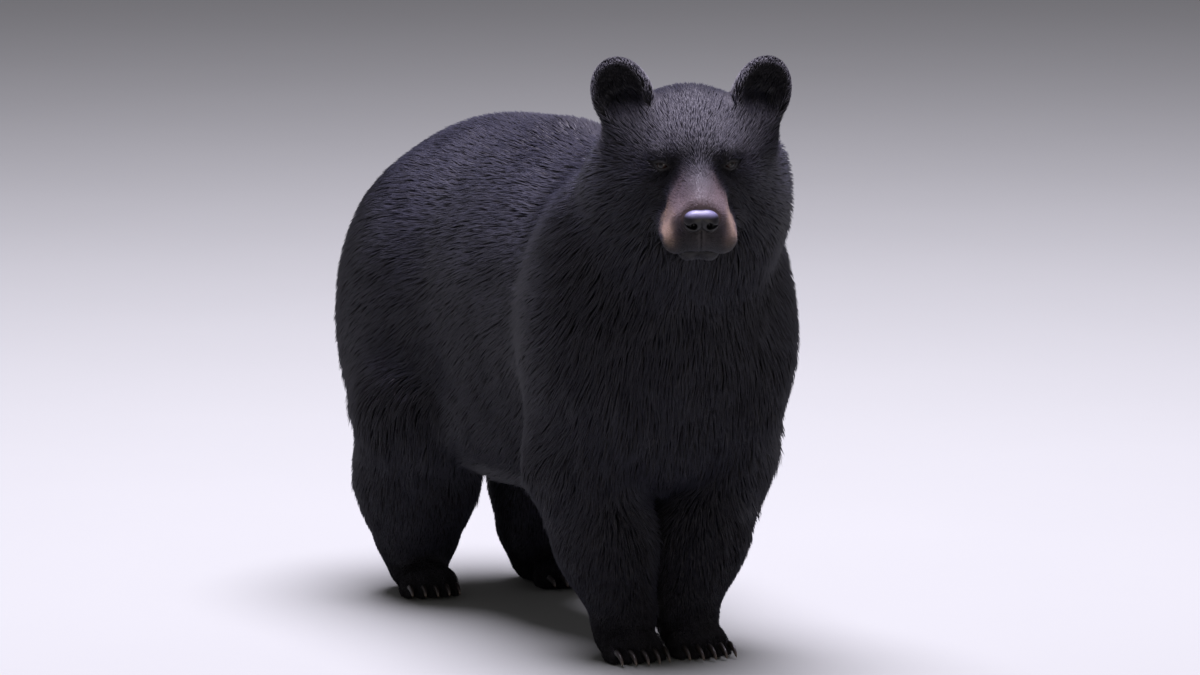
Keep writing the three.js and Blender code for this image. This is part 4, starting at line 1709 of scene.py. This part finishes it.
def claw_mesh(name, paw, i):
    """Rings that shrink along an arc turning down from the toe, deeper than wide, with a blunt tip."""
    rings, spokes = 12, 14
    t = np.linspace(0, 1, rings + 1)
    bend = 0.1 + 1.05 * t
    root = toe_tip(paw, i) + [0, 10, 21]
    drop = paw["claw"] * 0.36 * bend**2
    centre = root + np.stack([0 * t, -paw["claw"] * np.sin(bend * 0.9), -drop], 1)
    taper = np.sqrt(np.clip(1 - t**2.2, 0, 1)) * 0.8 + 0.2 * (1 - t)
    across, down = 0.6 + 3.4 * taper, 0.8 + 5.2 * taper
    angle = np.linspace(0, 2 * np.pi, spokes, endpoint=False)
    side, rise = np.sin(angle), np.cos(angle)
    rise = np.where(rise < 0, rise * 0.8, rise)  # the underside is flatter
    points = np.stack(
        [
            centre[:, None, 0] + across[:, None] * side,
            centre[:, None, 1] - down[:, None] * rise * np.sin(bend)[:, None],
            centre[:, None, 2] + down[:, None] * rise * np.cos(bend)[:, None],
        ],
        -1,
    ).reshape(-1, 3)
    points = np.concatenate([points, centre[:1], centre[-1:] + (centre[-1] - centre[-2]) * 0.35])
    k = np.arange(spokes)
    n = (k + 1) % spokes
    faces = []
    for ring in range(rings):
        a, b = ring * spokes + k, ring * spokes + n
        faces += [np.stack([a, b, b + spokes], 1), np.stack([a, b + spokes, a + spokes], 1)]
    last = rings * spokes
    faces.append(np.stack([n, k, 0 * k + len(points) - 2], 1))
    faces.append(np.stack([last + k, last + n, 0 * k + len(points) - 1], 1))
    world = paw["place"] + points @ paw["turn"].T
    mesh = mesh_of(name, world, np.concatenate(faces)[:, ::-1])
    write_numbers(mesh, "along", np.concatenate([np.repeat(t, spokes), [0, 1]]))
    write_numbers(mesh, "turn", np.concatenate([np.tile(np.abs(angle / np.pi - 1), rings + 1), [0, 0]]))
    return mesh


# ---- the stage ----

LOOKED_AT = (0.0487, 0.0162, 0.4773)


class BEAR_OT_stage(bpy.types.Operator):
    """Lays the pale floor, hangs the lights and sets the camera"""

    bl_idname = "bear.stage"
    bl_label = "Stage"

    def execute(self, context):
        sizes, colours = context.scene.bear_stage, context.scene.bear_colours
        radius, spokes = 60000, 96  # wide enough to reach the horizon
        angle = np.linspace(0, 2 * np.pi, spokes, endpoint=False)
        rim = np.stack([radius * np.cos(angle), radius * np.sin(angle), 0 * angle], 1)
        k = np.arange(spokes)
        slices = np.stack([k, (k + 1) % spokes, 0 * k + spokes], 1)
        mesh = mesh_of("floor", np.concatenate([rim, [[0, 0, 0]]]), slices)
        placed("floor", mesh, floor_finish(colours))
        self.light("overhead", (0.3, 0.8, 7.5), (0, 0, 0.5), 6.0, sizes.key_power, "#eee6ff")
        self.light("front", (-0.8, -5.9, 0.9), (0.05, -0.3, 0.2), 2.0, sizes.fill_power, "#fff6ea")
        world = bpy.data.worlds.new("studio")
        world.use_nodes = True
        sky = world.node_tree.nodes["Background"]
        sky.inputs["Color"].default_value = hex_colour("#ece6f2")
        sky.inputs["Strength"].default_value = 0.25
        context.scene.world = world
        context.scene.view_settings.view_transform = "Standard"
        self.camera(context, sizes)
        return {"FINISHED"}

    @staticmethod
    def light(name, place, target, size, power, colour):
        """A round soft light, hung at a place and aimed at another."""
        lamp = bpy.data.lights.new(name, "AREA")
        lamp.shape = "DISK"
        lamp.size = size
        lamp.energy = power
        lamp.color = hex_colour(colour)[:3]
        hung = bpy.data.objects.new(name, lamp)
        hung.location = place
        hung.rotation_euler = (Vector(target) - Vector(place)).to_track_quat("-Z", "Y").to_euler()
        hung.visible_camera = False
        bpy.context.scene.collection.objects.link(hung)

    @staticmethod
    def camera(context, sizes):
        """A long lens that looks at the bear's middle from its right front quarter."""
        a, e = sizes.azimuth, sizes.elevation
        back = Vector((math.sin(a) * math.cos(e), -math.cos(a) * math.cos(e), math.sin(e)))
        lens = bpy.data.cameras.new("camera")
        lens.sensor_width = 36.0
        lens.lens = lens.sensor_width * sizes.distance / sizes.view_width
        lens.clip_end = 200
        camera = bpy.data.objects.new("camera", lens)
        camera.location = Vector(LOOKED_AT) + back * sizes.distance
        camera.rotation_euler = back.to_track_quat("Z", "Y").to_euler()
        context.scene.collection.objects.link(camera)
        context.scene.camera = camera


class BEAR_PT_panel(bpy.types.Panel):
    bl_label = "Museum bear"
    bl_idname = "BEAR_PT_panel"
    bl_space_type = "VIEW_3D"
    bl_region_type = "UI"
    bl_category = "Bear"

    def draw(self, context):
        for group in ("bear_skin", "bear_coat", "bear_colours", "bear_stage"):
            settings = getattr(context.scene, group)
            box = self.layout.box()
            for key in settings.__annotations__:
                box.prop(settings, key)
        for step in STEPS:
            self.layout.operator(step.bl_idname)


GROUPS = {
    "bear_skin": BearSkinSizes,
    "bear_coat": BearCoatSizes,
    "bear_colours": BearColours,
    "bear_stage": BearStageSizes,
}
STEPS = [BEAR_OT_skin, BEAR_OT_nose, BEAR_OT_eyes, BEAR_OT_claws, BEAR_OT_coat, BEAR_OT_stage]


def register():
    """Adds the settings, the operators and the panel."""
    for new in (*GROUPS.values(), *STEPS, BEAR_PT_panel):
        bpy.utils.register_class(new)
    for name, group in GROUPS.items():
        setattr(bpy.types.Scene, name, PointerProperty(type=group))


def unregister():
    """Takes them away again."""
    for name in GROUPS:
        delattr(bpy.types.Scene, name)
    for old in (BEAR_PT_panel, *STEPS, *GROUPS.values()):
        bpy.utils.unregister_class(old)


def main():
    """Registers the add-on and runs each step."""
    register()
    for step in STEPS:
        group, name = step.bl_idname.split(".")
        getattr(getattr(bpy.ops, group), name)()


if __name__ == "__main__":
    main()
